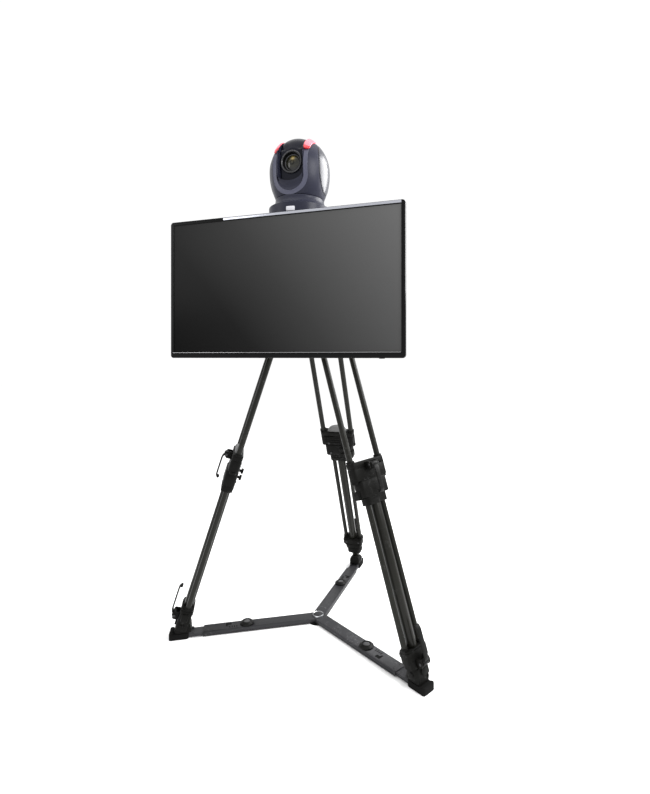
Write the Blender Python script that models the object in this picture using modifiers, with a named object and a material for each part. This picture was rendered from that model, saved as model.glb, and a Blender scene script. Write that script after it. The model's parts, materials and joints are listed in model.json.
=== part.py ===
"""Remote-controlled pan and tilt camera with a monitor, on a two-stage tripod with a floor spreader.

Metres, +Z up, front towards -Y.  The origin is on the floor, under the middle of the spreader.
"""
import math

import bmesh
import bpy
from mathutils import Matrix, Vector

# ---- Driving dimensions ----------------------------------------------------------------------
GAP = 0.0003                            # clearance between touching pieces

# Tripod: three legs run from a 50 mm radius at the crown to the feet.  The crown stands forward
# of the spreader's middle, because the back leg is drawn out further than the front ones.
LEG_ANGLES = {"back": 90.0, "left": 210.0, "right": 330.0}
CROWN_CENTRE = Vector((0.0, -0.080, 1.145))
HINGE_RADIUS = 0.050
ANKLE_RADIUS = 0.438
ANKLE_HEIGHT = 0.055

UPPER_TUBE_RADIUS = 0.009
UPPER_TUBE_SPACING = 0.111
MIDDLE_TUBE_RADIUS = 0.008
MIDDLE_TUBE_SPACING = 0.060
LOWER_TUBE_RADIUS = 0.015
TUBE_WALL = 0.002

# Distances down the leg from its hinge pin
YOKE_TOP = -0.013
YOKE_BOTTOM = 0.032
MIDDLE_CLAMP_TOP = 0.574
MIDDLE_CLAMP_SPLIT = 0.628
MIDDLE_CLAMP_BOTTOM = 0.676
LOWER_CLAMP_TOP = 1.094
LOWER_CLAMP_BOTTOM = 1.142
LOWER_TUBE_LENGTH = 0.516
MIDDLE_LEVER_PIVOT = 0.590
MIDDLE_LEVER_LENGTH = 0.082
LOWER_LEVER_PIVOT = LOWER_CLAMP_BOTTOM - 0.012
LOWER_LEVER_LENGTH = 0.096
LEVER_OFFSET = 0.034                    # lever pins outside the leg's middle plane

# Floor spreader
CHANNEL_WIDTH = 0.044
CHANNEL_BOTTOM = 0.0030
CHANNEL_TOP = 0.0165
CHANNEL_WALL = 0.0025
CHANNEL_END = 0.377
SLIDER_WIDTH = 0.036
SLIDER_START = 0.100
SLIDER_END = 0.4215
KNOB_DISTANCE = 0.239
PAD_END = 0.480
PAD_WIDTH = 0.046
PAD_HEIGHT = 0.018

# Bowl, mast, bracket and shelf
BOWL_HEIGHT = 0.050                     # bowl rim above the hinge plane
BOWL_RADIUS = 0.0375                    # 75 mm bowl
MAST_RADIUS = 0.020
SHELF_TOP = 1.3201
SHELF_THICKNESS = 0.006

# Monitor, 32-inch class
MONITOR_WIDTH = 0.728
MONITOR_HEIGHT = 0.414
MONITOR_BOTTOM = 0.900
MONITOR_FRONT = -0.303
FRAME_DEPTH = 0.012
SIDE_BEZEL = 0.0105
BOTTOM_BEZEL = 0.017
REAR_PANEL_DEPTH = 0.008
COVER_REAR = -0.253
VESA_HEIGHT = MONITOR_BOTTOM + MONITOR_HEIGHT / 2

# Camera
CAMERA_Y = -0.153
BASE_TOP = 1.3890
BASE_RADIUS = 0.0955
BASE_FLARE = 0.019                      # radius of the hollow curve from its neck to its rim
BODY_RADIUS = 0.0925
BODY_WAIST = 1.475
BODY_RISE = 0.106
BODY_DROP = 0.144
TILT_HEIGHT = 1.490
HEAD_RADIUS = 0.088
HEAD_WIDTH = 0.074
HEAD_FACE = 0.060                       # tilt axis to the head's flat front
SLOT_WIDTH = 0.077

# ---- Scene and materials ---------------------------------------------------------------------
for leftover in list(bpy.data.objects):
    bpy.data.objects.remove(leftover)

PARTS = bpy.data.collections.new("webcam_on_tripod")
WORKSHOP = bpy.data.collections.new("workshop")
for collection in (PARTS, WORKSHOP):
    bpy.context.scene.collection.children.link(collection)

FINISHES = {                            # colour, roughness, metallic
    "black_tube": ((0.018, 0.018, 0.016), 0.38, 0.7),
    "black_casting": ((0.014, 0.014, 0.013), 0.55, 0.1),
    "grey_channel": ((0.070, 0.070, 0.082), 0.60, 0.4),
    "black_rubber": ((0.010, 0.010, 0.010), 0.85, 0.0),
    "bright_steel": ((0.60, 0.61, 0.63), 0.28, 1.0),
    "black_bracket": ((0.020, 0.020, 0.021), 0.50, 0.3),
    "slate_shell": ((0.043, 0.045, 0.063), 0.42, 0.0),
    "black_gloss": ((0.008, 0.008, 0.009), 0.15, 0.0),
    "lens_glass": ((0.010, 0.010, 0.016), 0.03, 0.0),
    "red_tally": ((0.95, 0.22, 0.26), 0.30, 0.0),
    "monitor_black": ((0.010, 0.010, 0.010), 0.30, 0.0),
    "dark_screen": ((0.020, 0.020, 0.020), 0.10, 0.0),
    "green_board": ((0.020, 0.120, 0.050), 0.50, 0.0),
}


def material(name):
    """The Principled material of one finish, made once."""
    found = bpy.data.materials.get(name)
    if found:
        return found
    colour, roughness, metallic = FINISHES[name]
    made = bpy.data.materials.new(name)
    made.use_nodes = True
    shader = made.node_tree.nodes["Principled BSDF"]
    shader.inputs["Base Color"].default_value = (*colour, 1.0)
    shader.inputs["Roughness"].default_value = roughness
    shader.inputs["Metallic"].default_value = metallic
    made.diffuse_color = (*colour, 1.0)
    return made


# ---- Making shapes ---------------------------------------------------------------------------
TURN = {"X": Matrix.Rotation(math.pi / 2, 4, "Y"),
        "Y": Matrix.Rotation(-math.pi / 2, 4, "X"),
        "Z": Matrix.Identity(4)}
SIDE_VIEW = Matrix(((0, 0, 1, 0), (1, 0, 0, 0), (0, 1, 0, 0), (0, 0, 0, 1)))    # (x, y) outline to (Y, Z)


def working(mesh):
    """A temporary object in the workshop collection."""
    shape = bpy.data.objects.new("work", mesh)
    WORKSHOP.objects.link(shape)
    return shape


def from_bmesh(shape):
    mesh = bpy.data.meshes.new("work")
    shape.to_mesh(mesh)
    shape.free()
    return working(mesh)


def bake(shape):
    """Give a working object its evaluated mesh in place of its modifiers or its curve."""
    bpy.context.view_layer.update()
    evaluated = shape.evaluated_get(bpy.context.evaluated_depsgraph_get())
    mesh = bpy.data.meshes.new_from_object(evaluated)
    bpy.data.objects.remove(shape)
    return working(mesh)


def block(size, centre, bevel=0.0):
    """A box, with its upright edges (along Z) cut back by bevel."""
    shape = bmesh.new()
    bmesh.ops.create_cube(shape, size=1.0, matrix=Matrix.Translation(centre) @ Matrix.Diagonal((*size, 1.0)))
    if bevel:
        upright = [e for e in shape.edges if abs(e.verts[0].co.z - e.verts[1].co.z) > 1e-6]
        bmesh.ops.bevel(shape, geom=upright, offset=bevel, segments=2, profile=0.5, affect="EDGES",
                        material=-1)
    return from_bmesh(shape)


def rod(radius, length, centre, axis="Z", sides=16, end_radius=None):
    """A cylinder, or a cone that ends in end_radius on its positive side."""
    shape = bmesh.new()
    bmesh.ops.create_cone(shape, cap_ends=True, segments=sides, radius1=radius,
                          radius2=radius if end_radius is None else end_radius, depth=length,
                          matrix=Matrix.Translation(centre) @ TURN[axis])
    return from_bmesh(shape)


def turned(profile, centre=(0, 0, 0), axis="Z", steps=24, ring=False):
    """A profile of (radius, height) points, outer side downwards, turned about the axis."""
    mesh = bpy.data.meshes.new("work")
    count = len(profile)
    edges = [(i, (i + 1) % count) for i in range(count if ring else count - 1)]
    mesh.from_pydata([(r, 0.0, h) for r, h in profile], edges, [])
    shape = working(mesh)
    screw = shape.modifiers.new("turn", "SCREW")
    screw.steps = screw.render_steps = steps
    screw.use_merge_vertices = True
    screw.merge_threshold = 0.00001
    shape = bake(shape)
    shape.data.transform(Matrix.Translation(centre) @ TURN[axis])
    return shape


def outline(points, thickness, frame=Matrix.Identity(4)):
    """A flat closed outline of (x, y) points, thickened about its plane and placed by frame."""
    curve = bpy.data.curves.new("work", "CURVE")
    curve.dimensions = "2D"
    curve.fill_mode = "BOTH"
    curve.extrude = thickness / 2
    spline = curve.splines.new("POLY")
    spline.points.add(len(points) - 1)
    for target, (x, y) in zip(spline.points, points):
        target.co = (x, y, 0.0, 1.0)
    spline.use_cyclic_u = True
    shape = bake(working(curve))
    welded = bmesh.new()
    welded.from_mesh(shape.data)
    bmesh.ops.remove_doubles(welded, verts=welded.verts, dist=0.00001)
    bmesh.ops.recalc_face_normals(welded, faces=welded.faces)
    welded.to_mesh(shape.data)
    welded.free()
    shape.data.transform(frame)
    return shape


def boolean(shape, others, operation):
    for other in others:
        step = shape.modifiers.new("join", "BOOLEAN")
        step.operation = operation
        step.object = other
    baked = bake(shape)
    for other in others:
        bpy.data.objects.remove(other)
    return baked


def join(shape, *others):
    return boolean(shape, others, "UNION")


def cut(shape, *others):
    return boolean(shape, others, "DIFFERENCE")


def arc(centre_x, centre_y, radius, start, end, steps):
    """Points on an arc, angles in degrees."""
    angles = [math.radians(start + (end - start) * i / steps) for i in range(steps + 1)]
    return [(centre_x + radius * math.cos(a), centre_y + radius * math.sin(a)) for a in angles]


def strap(path, thickness):
    """The outline of a bent strap: both sides of a path of (x, y) points."""
    sides = ([], [])
    for i, point in enumerate(path):
        before = Vector(path[max(i - 1, 0)])
        after = Vector(path[min(i + 1, len(path) - 1)])
        along = (after - before).normalized()
        for side, offset in zip(sides, (thickness / 2, -thickness / 2)):
            side.append((point[0] - offset * along.y, point[1] + offset * along.x))
    return sides[0] + sides[1][::-1]


# ---- Placing pieces --------------------------------------------------------------------------
def empty(name, matrix):
    """An empty that holds one frame of reference, or one joint's axis."""
    holder = bpy.data.objects.new(name, None)
    holder.empty_display_size = 0.03
    holder.matrix_world = matrix
    PARTS.objects.link(holder)
    return holder


def add(name, shape, finish, parent=None, smooth=30.0):
    """Turn a working object into a named part, in its parent's frame."""
    shape.name = shape.data.name = name
    WORKSHOP.objects.unlink(shape)
    PARTS.objects.link(shape)
    shape.data.materials.clear()
    shape.data.materials.append(material(finish))
    shape.data.shade_smooth()
    shape.data.set_sharp_from_angle(angle=math.radians(smooth))
    if parent:
        shape.parent = parent
    return shape


def direction(angle):
    return Vector((math.cos(math.radians(angle)), math.sin(math.radians(angle)), 0.0))


def frame(origin, x_axis, y_axis, z_axis):
    matrix = Matrix((x_axis, y_axis, z_axis)).transposed().to_4x4()
    matrix.translation = origin
    return matrix


CROWN_AXIS = (CROWN_CENTRE - Vector((0.0, 0.0, ANKLE_HEIGHT))).normalized()
CROWN_FRAME = frame(CROWN_CENTRE, Vector((1, 0, 0)), CROWN_AXIS.cross(Vector((1, 0, 0))), CROWN_AXIS)


def ankle(angle):
    """The point on the leg's line where the foot is fixed."""
    return direction(angle) * ANKLE_RADIUS + Vector((0, 0, ANKLE_HEIGHT))


def leg_frame(angle):
    """Origin on the hinge pin, X across the leg, Y outwards, Z up the leg."""
    top = CROWN_CENTRE + direction(angle) * HINGE_RADIUS
    up = (top - ankle(angle)).normalized()
    pin = top + up * ((CROWN_CENTRE - top).dot(CROWN_AXIS) / up.dot(CROWN_AXIS))
    outward = (CROWN_AXIS - up * CROWN_AXIS.dot(up)).normalized()
    return frame(pin, outward.cross(up), outward, up)


def arm_frame(angle, distance=0.0, height=0.0):
    """X across the spreader arm, Y outwards along it, Z up."""
    out = direction(angle)
    up = Vector((0, 0, 1))
    return frame(out * distance + up * height, out.cross(up), out, up)


# ---- Crown, bowl and mast --------------------------------------------------------------------
LUG_WIDTH = 0.040
PIN_RADIUS = 0.006
BALL_CENTRE = CROWN_FRAME @ Vector((0, 0, BOWL_HEIGHT))
BALL_PLATE_TOP = BALL_CENTRE.z + 0.009
RING_RADIUS = 0.056


def make_crown(holder, legs):
    """Bowl ring with a spherical seat, and three lugs that carry the hinge pins."""
    seat = arc(0, BOWL_HEIGHT, BOWL_RADIUS, -52, 0, 6)
    ring = turned([(RING_RADIUS, BOWL_HEIGHT), (RING_RADIUS, 0.029), (0.050, 0.0205), (0.030, 0.0190),
                   (0.030, -0.012), (seat[0][0], -0.012)] + seat, steps=36, ring=True)
    for pin_frame in legs:
        local = CROWN_FRAME.inverted() @ pin_frame
        reach = Vector((local.translation.x, local.translation.y, 0)).length
        turn = Matrix.Rotation(math.atan2(local.translation.y, local.translation.x), 4, "Z")
        lug = block((reach - 0.024, LUG_WIDTH - 0.002, 0.017), (0.024 + (reach - 0.024) / 2, 0, 0.000))
        nose = rod(0.0100, LUG_WIDTH, (reach, 0, 0), axis="Y")
        pin = rod(PIN_RADIUS, UPPER_TUBE_SPACING + 0.014, (reach, 0, 0), axis="Y")
        for shape in (lug, nose, pin):
            shape.data.transform(turn)
        ring = join(ring, lug, nose, pin)
    add("crown", ring, "black_casting", holder)


def make_bowl_ball():
    """Levelling half ball with its flange and tie-down stud."""
    radius = BOWL_RADIUS - GAP
    flange = 0.043
    stud = 0.006
    low = BALL_CENTRE.z - 0.075
    seat = [(radius * math.cos(math.radians(a)), BALL_CENTRE.z + radius * math.sin(math.radians(a)))
            for a in range(0, -76, -15)]
    rest = BALL_CENTRE.z + 0.0035       # the flange clears the tilted rim
    profile = [(0, BALL_PLATE_TOP), (flange, BALL_PLATE_TOP), (flange, rest), (radius, rest)] + seat
    profile += [(stud, seat[-1][1]), (stud, low), (0, low)]
    add("bowl_ball", turned(profile, (BALL_CENTRE.x, BALL_CENTRE.y, 0)), "bright_steel")


def make_tie_down_knob():
    """Knob with a cup washer that pulls the ball into the bowl."""
    top = -0.004
    hole = 0.0063
    profile = [(hole, top), (0.0245, top), (0.0245, top - 0.006), (0.014, top - 0.012),
               (0.019, top - 0.020), (0.021, top - 0.052), (0.017, top - 0.058), (hole, top - 0.058)]
    knob = turned(profile, ring=True)
    place = Vector((BALL_CENTRE.x, BALL_CENTRE.y, CROWN_CENTRE.z - 0.012))
    holder = empty("tie_down_axis", Matrix.Translation(place))
    add("tie_down_knob", knob, "black_casting", holder)


def make_mast():
    top = SHELF_TOP - SHELF_THICKNESS - GAP
    low = BALL_PLATE_TOP + GAP
    foot = 0.036
    profile = [(0, top), (MAST_RADIUS, top), (MAST_RADIUS, low + 0.012),
               (foot, low + 0.008), (foot, low), (0, low)]
    add("mast", turned(profile, (BALL_CENTRE.x, BALL_CENTRE.y, 0)), "black_bracket")


def make_camera_shelf():
    """Plate that carries the camera forward of the mast, with a rib below it."""
    depth = 0.190
    centre_y = CAMERA_Y + 0.012
    low = SHELF_TOP - SHELF_THICKNESS
    plate = block((0.150, depth, SHELF_THICKNESS), (0, centre_y, low + SHELF_THICKNESS / 2), bevel=0.020)
    rib_end = BALL_CENTRE.y - MAST_RADIUS - 0.004
    rib_start = CAMERA_Y - 0.060
    rib = block((0.008, rib_end - rib_start, 0.026), (0, (rib_end + rib_start) / 2, low - 0.012))
    add("camera_shelf", join(plate, rib), "black_bracket")


def make_monitor_bracket():
    """Collar on the mast, a forward arm, and a hanging spine behind the monitor."""
    mast_y = BALL_CENTRE.y
    arm_height = 1.248
    outer, bore, half_height = 0.032, MAST_RADIUS + GAP, 0.018
    collar = turned([(outer, half_height), (outer, -half_height), (bore, -half_height), (bore, half_height)],
                    (0, mast_y, arm_height), ring=True)
    spine_y = -0.230
    arm_end = mast_y - 0.028
    arm = block((0.036, arm_end - spine_y, 0.030), (0, (arm_end + spine_y) / 2, arm_height))
    spine_low = VESA_HEIGHT - 0.050
    spine_top = arm_height + 0.018
    spine = block((0.060, 0.008, spine_top - spine_low), (0, spine_y, (spine_top + spine_low) / 2))
    plate_rear = COVER_REAR + 0.0046
    spacer = block((0.050, spine_y - plate_rear, 0.050), (0, (spine_y + plate_rear) / 2, VESA_HEIGHT))
    add("monitor_bracket", join(collar, arm, spine, spacer), "black_bracket")


def make_vesa_plate():
    """Square plate with the 100 mm hole pattern of its screws."""
    centre = (0, COVER_REAR + 0.0023, VESA_HEIGHT)
    plate = block((0.120, 0.0040, 0.120), centre)
    holes = [rod(0.0023, 0.02, (x, centre[1], VESA_HEIGHT + z), axis="Y", sides=10)
             for x in (-0.05, 0.05) for z in (-0.05, 0.05)]
    add("vesa_plate", cut(plate, *holes), "black_bracket")


# ---- Monitor ---------------------------------------------------------------------------------
SCREEN_WIDTH = MONITOR_WIDTH - 2 * SIDE_BEZEL
SCREEN_BOTTOM = MONITOR_BOTTOM + BOTTOM_BEZEL
SCREEN_TOP = MONITOR_BOTTOM + MONITOR_HEIGHT - SIDE_BEZEL
BUTTON_X = 0.300
BUTTON_SIZE = (0.014, 0.006, 0.0055)
INLET_SIZE = (0.030, 0.018, 0.022)
INLET_CENTRE = Vector((0.140, COVER_REAR - INLET_SIZE[1] / 2 + 0.001, VESA_HEIGHT - 0.075))


def tapered_block(front_half, rear_half, front_y, rear_y):
    """A box centred on the mounting height, from one half width and height in front to another behind."""
    shape = bmesh.new()
    bmesh.ops.create_cube(shape, size=2.0)
    for corner in shape.verts:
        half_width, half_height = rear_half if corner.co.y > 0 else front_half
        corner.co = (corner.co.x * half_width, rear_y if corner.co.y > 0 else front_y,
                     VESA_HEIGHT + corner.co.z * half_height)
    return from_bmesh(shape)


def make_monitor():
    frame_centre = (0, MONITOR_FRONT + FRAME_DEPTH / 2, MONITOR_BOTTOM + MONITOR_HEIGHT / 2)
    opening_centre = (0, MONITOR_FRONT + FRAME_DEPTH / 2, (SCREEN_BOTTOM + SCREEN_TOP) / 2)
    button_centre = (BUTTON_X, MONITOR_FRONT + FRAME_DEPTH / 2)
    surround = block((MONITOR_WIDTH, FRAME_DEPTH, MONITOR_HEIGHT), frame_centre)
    pocket_size = (BUTTON_SIZE[0] + 2 * GAP, BUTTON_SIZE[1] + 2 * GAP, 0.012)
    pocket = block(pocket_size, (*button_centre, MONITOR_BOTTOM))
    surround = cut(surround, block((SCREEN_WIDTH, 0.05, SCREEN_TOP - SCREEN_BOTTOM), opening_centre), pocket)
    add("monitor_frame", surround, "monitor_black")

    panel_front = MONITOR_FRONT + 0.0015
    panel_rear = MONITOR_FRONT + FRAME_DEPTH - 0.001
    panel = block((SCREEN_WIDTH - 2 * GAP, panel_rear - panel_front, SCREEN_TOP - SCREEN_BOTTOM - 2 * GAP),
                  (0, (panel_front + panel_rear) / 2, opening_centre[2]))
    add("screen_panel", panel, "dark_screen")

    panel_rear = MONITOR_FRONT + FRAME_DEPTH + GAP + REAR_PANEL_DEPTH
    rear_panel = block((MONITOR_WIDTH - 0.010, REAR_PANEL_DEPTH, MONITOR_HEIGHT - 0.010),
                       (0, panel_rear - REAR_PANEL_DEPTH / 2, frame_centre[2]))
    add("rear_panel", rear_panel, "monitor_black")

    housing_front = panel_rear + GAP
    wall = 0.003
    housing = tapered_block((0.250, 0.150), (0.215, 0.115), housing_front, COVER_REAR)
    hollow = tapered_block((0.250 - wall, 0.150 - wall), (0.215 - wall, 0.115 - wall),
                           housing_front - 0.0001, COVER_REAR - wall)
    inlet_hole = block((INLET_SIZE[0] + 2 * GAP, 0.020, INLET_SIZE[2] + 2 * GAP), INLET_CENTRE)
    add("rear_housing", cut(housing, hollow, inlet_hole), "monitor_black")

    inner_size = Vector(INLET_SIZE) - Vector((0.005, 0.0, 0.005))
    socket = cut(block(INLET_SIZE, INLET_CENTRE), block(inner_size, INLET_CENTRE + Vector((0, 0.004, 0))))
    add("power_inlet", socket, "black_casting")

    board_y = housing_front + 0.0077
    board = block((0.300, 0.0016, 0.140), (0, board_y, VESA_HEIGHT))
    standoffs = [rod(0.003, board_y - housing_front, (x, (board_y + housing_front) / 2, VESA_HEIGHT + z),
                     axis="Y", sides=8)
                 for x in (-0.14, 0.14) for z in (-0.06, 0.06)]
    add("main_board", join(board, *standoffs), "green_board")

    holder = empty("power_button_axis", Matrix.Translation((*button_centre, MONITOR_BOTTOM)))
    add("power_button", block(BUTTON_SIZE, (0, 0, BUTTON_SIZE[2] / 2 - 0.0015)), "monitor_black", holder)


# ---- Camera ----------------------------------------------------------------------------------
def body_radius(height):
    """Radius of the egg-shaped shell at a height above the floor."""
    half = BODY_RISE if height > BODY_WAIST else BODY_DROP
    return BODY_RADIUS * math.sqrt(max(0.0, 1 - ((height - BODY_WAIST) / half) ** 2))


SPINDLE_RADIUS = 0.015
SPINDLE_BORE = SPINDLE_RADIUS + 0.0005
SHAFT_RADIUS = 0.008
TALLY_X = 0.0525
TALLY_Y = -0.036                        # in front of the pan axis
TALLY_FLOOR = 0.0500                    # pocket floor above the tilt axis
TALLY_SIZE = Vector((0.0210, 0.0150, 0.0110))


def make_camera_base():
    low = SHELF_TOP + GAP
    neck = BASE_RADIUS - BASE_FLARE
    flare_top = BASE_TOP - 0.002
    flare = arc(BASE_RADIUS, flare_top, BASE_FLARE, 180, 270, 5)
    profile = [(SPINDLE_BORE, BASE_TOP), (neck - 0.002, BASE_TOP), *flare,
               (BASE_RADIUS, low), (SPINDLE_BORE, low)]
    add("camera_base", turned(profile, (0, CAMERA_Y, 0), steps=36, ring=True), "slate_shell")


def make_camera_yoke(holder):
    """Egg-shaped shell, slotted from front to back for the head."""
    low = BASE_TOP + GAP
    top = BODY_WAIST + BODY_RISE
    heights = [top - BODY_RISE * (1 - math.cos(math.radians(d))) for d in range(0, 91, 10)]
    heights += [BODY_WAIST + (low - BODY_WAIST) * i / 6 for i in range(1, 7)]
    profile = [(body_radius(h), h) for h in heights]
    profile[0] = (0, top)
    profile += [(SPINDLE_RADIUS, low), (SPINDLE_RADIUS, low - 0.030), (0, low - 0.030)]
    shell = turned([(r, h - TILT_HEIGHT) for r, h in profile], steps=36)
    slot_floor = 1.410 - TILT_HEIGHT
    half_slot = SLOT_WIDTH / 2
    front = [(-half_slot, 0.2), *arc(0, slot_floor + half_slot, half_slot, 180, 360, 10), (half_slot, 0.2)]
    slot_depth = 0.120
    front_frame = Matrix.Translation((0, -slot_depth / 2, 0)) @ Matrix.Rotation(math.pi / 2, 4, "X")
    head_room = rod(HEAD_RADIUS + 0.0015, SLOT_WIDTH, (0, 0, 0), axis="X", sides=48)
    open_top = block((SLOT_WIDTH, 0.25, 0.20), (0, 0.04, 0.112))
    shaft_hole = rod(SHAFT_RADIUS + GAP, 2 * 0.049, (0, 0, 0), axis="X")
    shell = cut(shell, outline(front, slot_depth, front_frame), head_room, open_top, shaft_hole)
    pocket_size = TALLY_SIZE + Vector((2 * GAP, 2 * GAP, 0.040))
    for x in (-TALLY_X, TALLY_X):
        shell = cut(shell, block(pocket_size, (x, TALLY_Y, TALLY_FLOOR + pocket_size.z / 2)))
    add("camera_yoke", shell, "slate_shell", holder)
    for name, x in (("tally_light_left", -TALLY_X), ("tally_light_right", TALLY_X)):
        lens = block(TALLY_SIZE, (x, TALLY_Y, TALLY_FLOOR + GAP + TALLY_SIZE.z / 2))
        add(name, lens, "red_tally", holder)


def make_camera_head(holder):
    """Round head between the yoke's arms, flat at the front where the lens comes out."""
    half = HEAD_WIDTH / 2
    edge = 0.010
    corner = arc(HEAD_RADIUS - edge, half - edge, edge, 90, 0, 3)
    profile = [(0, half)] + corner + [(r, -x) for r, x in reversed(corner)] + [(0, -half)]
    head = turned(profile, axis="X", steps=48)
    nose = block((0.1, 0.1, 0.2), (0, -HEAD_FACE - 0.05, 0))
    head = cut(head, nose, rod(SHAFT_RADIUS + GAP, 0.2, (0, 0, 0), axis="X"),
               rod(0.0293, 0.080, (0, -HEAD_FACE, 0), axis="Y", sides=32))
    add("camera_head", head, "black_gloss", holder)
    add("tilt_shaft", rod(SHAFT_RADIUS, 2 * 0.048, (0, 0, 0), axis="X"), "bright_steel", holder)
    # heights below are measured forwards from the tilt axis
    flange = HEAD_FACE + GAP
    bore, wall, rim = 0.0250, 0.0290, 0.0345
    profile = [(bore, flange + 0.006), (rim - 0.0015, flange + 0.006), (rim, flange + 0.004), (rim, flange),
               (wall, flange), (wall, 0.0210), (bore, 0.0210)]
    barrel = turned(profile, steps=32, ring=True)
    edge = bore - GAP
    glass = turned([(0, 0.0600), (0.009, 0.0592), (0.017, 0.0565), (edge, 0.0520), (edge, 0.0460), (0, 0.0460)],
                   steps=32)
    forward = Matrix.Rotation(math.pi / 2, 4, "X")
    for name, shape, finish in (("lens_barrel", barrel, "black_gloss"), ("lens_glass", glass, "lens_glass")):
        shape.data.transform(forward)
        add(name, shape, finish, holder)


# ---- Legs ------------------------------------------------------------------------------------
def tube(radius, top, bottom, x=0.0):
    """A round tube along the leg, between two distances down it."""
    inner = radius - TUBE_WALL
    wall = [(radius, -top), (radius, -bottom), (inner, -bottom), (inner, -top)]
    return turned(wall, (x, 0, 0), steps=16, ring=True)


def lever(length):
    """A bent strap with a hooked tip and a pivot barrel, lying along +Y from the barrel."""
    stand_off = 0.011
    thickness = 0.0045
    path = [(0, 0), (stand_off * 0.7, 0.006), (stand_off, length * 0.25), (stand_off, length - 0.008)]
    path += [(stand_off - 0.004, length - 0.002), (stand_off - 0.010, length)]
    arm = outline(strap(path, thickness), 0.016, SIDE_VIEW)
    return join(arm, rod(0.0075, 0.022, (0, 0, 0), axis="X", sides=12))


def make_upper_stage(name, holder):
    """Yoke that straddles the crown's lug, with the two upper tubes fixed in it."""
    middle = (YOKE_TOP + YOKE_BOTTOM) / 2
    half = UPPER_TUBE_SPACING / 2
    yoke = block((UPPER_TUBE_SPACING + 0.018, 0.020, YOKE_BOTTOM - YOKE_TOP), (0, 0.0025, -middle))
    for x in (-half, half):
        yoke = join(yoke, tube(UPPER_TUBE_RADIUS, YOKE_BOTTOM - 0.006, MIDDLE_CLAMP_TOP - GAP, x))
    slot = block((LUG_WIDTH + 0.002, 0.1, 0.040), (0, 0, 0.0))
    pin_hole = rod(PIN_RADIUS + GAP, 0.2, (0, 0, 0), axis="X")
    add(name, cut(yoke, slot, pin_hole), "black_tube", holder)


def make_middle_clamp(name, holder, capped):
    """Clamp casting at the foot of the upper tubes, with studs for a raised spreader and, if capped, a dome."""
    top, split, bottom = -MIDDLE_CLAMP_TOP, -MIDDLE_CLAMP_SPLIT, -MIDDLE_CLAMP_BOTTOM
    body = block((0.129, 0.034, top - split), (0, 0, (top + split) / 2), bevel=0.010)
    overlap = 0.002
    lower_height = split + overlap - bottom
    lower = block((0.106, 0.040, lower_height), (0, 0.001, bottom + lower_height / 2), bevel=0.012)
    dome = []
    if capped:
        dome_shape = [(-0.038, -0.010), (0.038, -0.010)] + arc(0, 0, 0.038, 0, 180, 10)[1:-1]
        flattened = Matrix.Diagonal((1, 1, 0.7, 1))
        dome.append(outline(dome_shape, 0.030, Matrix.Translation((0, 0, top)) @ flattened @ TURN["Y"].inverted()))
    ears = [block((0.006, 0.022, 0.022), (x, 0.026, -MIDDLE_LEVER_PIVOT)) for x in (-0.0150, 0.0150)]
    studs = [rod(0.006, 0.020, (0.020, -0.026, bottom + z), axis="Y", sides=12) for z in (0.036, 0.014)]
    bore = rod(LOWER_TUBE_RADIUS + GAP, 0.100, (0, 0, split - 0.050))
    add(name, cut(join(body, lower, *dome, *ears, *studs), bore), "black_casting", holder)


def make_middle_stage(name, holder):
    """The two middle tubes, tied at the top by a collar that the lower tube passes through."""
    top = MIDDLE_CLAMP_BOTTOM + GAP
    depth = 0.024
    half = MIDDLE_TUBE_SPACING / 2
    collar = block((MIDDLE_TUBE_SPACING + 0.020, 0.037, depth), (0, 0, -top - depth / 2), bevel=0.010)
    for x in (-half, half):
        collar = join(collar, tube(MIDDLE_TUBE_RADIUS, top + depth / 2, LOWER_CLAMP_TOP - GAP, x))
    bore = rod(LOWER_TUBE_RADIUS + GAP, 0.100, (0, 0, -top))
    add(name, cut(collar, bore), "black_tube", holder)


def make_lower_clamp(name, holder):
    """Clamp casting at the foot of the middle tubes; the lower tube runs through it."""
    top, bottom = -LOWER_CLAMP_TOP, -LOWER_CLAMP_BOTTOM
    middle = (top + bottom) / 2
    body = block((0.078, 0.040, top - bottom), (0, 0, middle), bevel=0.008)
    ears = [block((0.006, 0.022, 0.022), (x, 0.028, -LOWER_LEVER_PIVOT)) for x in (-0.0150, 0.0150)]
    bore = rod(LOWER_TUBE_RADIUS + GAP, 0.2, (0, 0, middle), sides=16)
    add(name, cut(join(body, *ears), bore), "black_casting", holder)


def make_lower_stage(leg, holder, foot_holder):
    """Lower tube, foot casting and rubber pad."""
    length = -(holder.matrix_world.inverted() @ ankle(LEG_ANGLES[leg])).z
    end = length + 0.002
    start = end - LOWER_TUBE_LENGTH
    add(leg + "_lower_tube", tube(LOWER_TUBE_RADIUS, start, end), "black_tube", holder)

    to_foot = foot_holder.matrix_world.inverted() @ holder.matrix_world
    spigot = rod(LOWER_TUBE_RADIUS - TUBE_WALL - GAP, 0.050, (0, 0, -end + 0.010), sides=16)
    spigot.data.transform(to_foot)
    top = 0.0460 - ANKLE_HEIGHT
    low = PAD_HEIGHT + GAP - ANKLE_HEIGHT
    casting = block((0.040, 0.052, top - low), (0, 0.002, (top + low) / 2))
    add(leg + "_foot", join(casting, spigot), "black_casting", foot_holder)

    inner = SLIDER_END + GAP - ANKLE_RADIUS
    outer = PAD_END - ANKLE_RADIUS
    rise = PAD_HEIGHT
    wedge = [(inner, 0), (outer, 0), (outer + 0.002, rise + 0.003), (outer - 0.010, rise + 0.003),
             (outer - 0.013, rise), (inner, rise)]
    on_floor = Matrix.Translation((0, 0, -ANKLE_HEIGHT)) @ SIDE_VIEW
    add(leg + "_foot_pad", outline(wedge, PAD_WIDTH, on_floor), "black_rubber", foot_holder)


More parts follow.
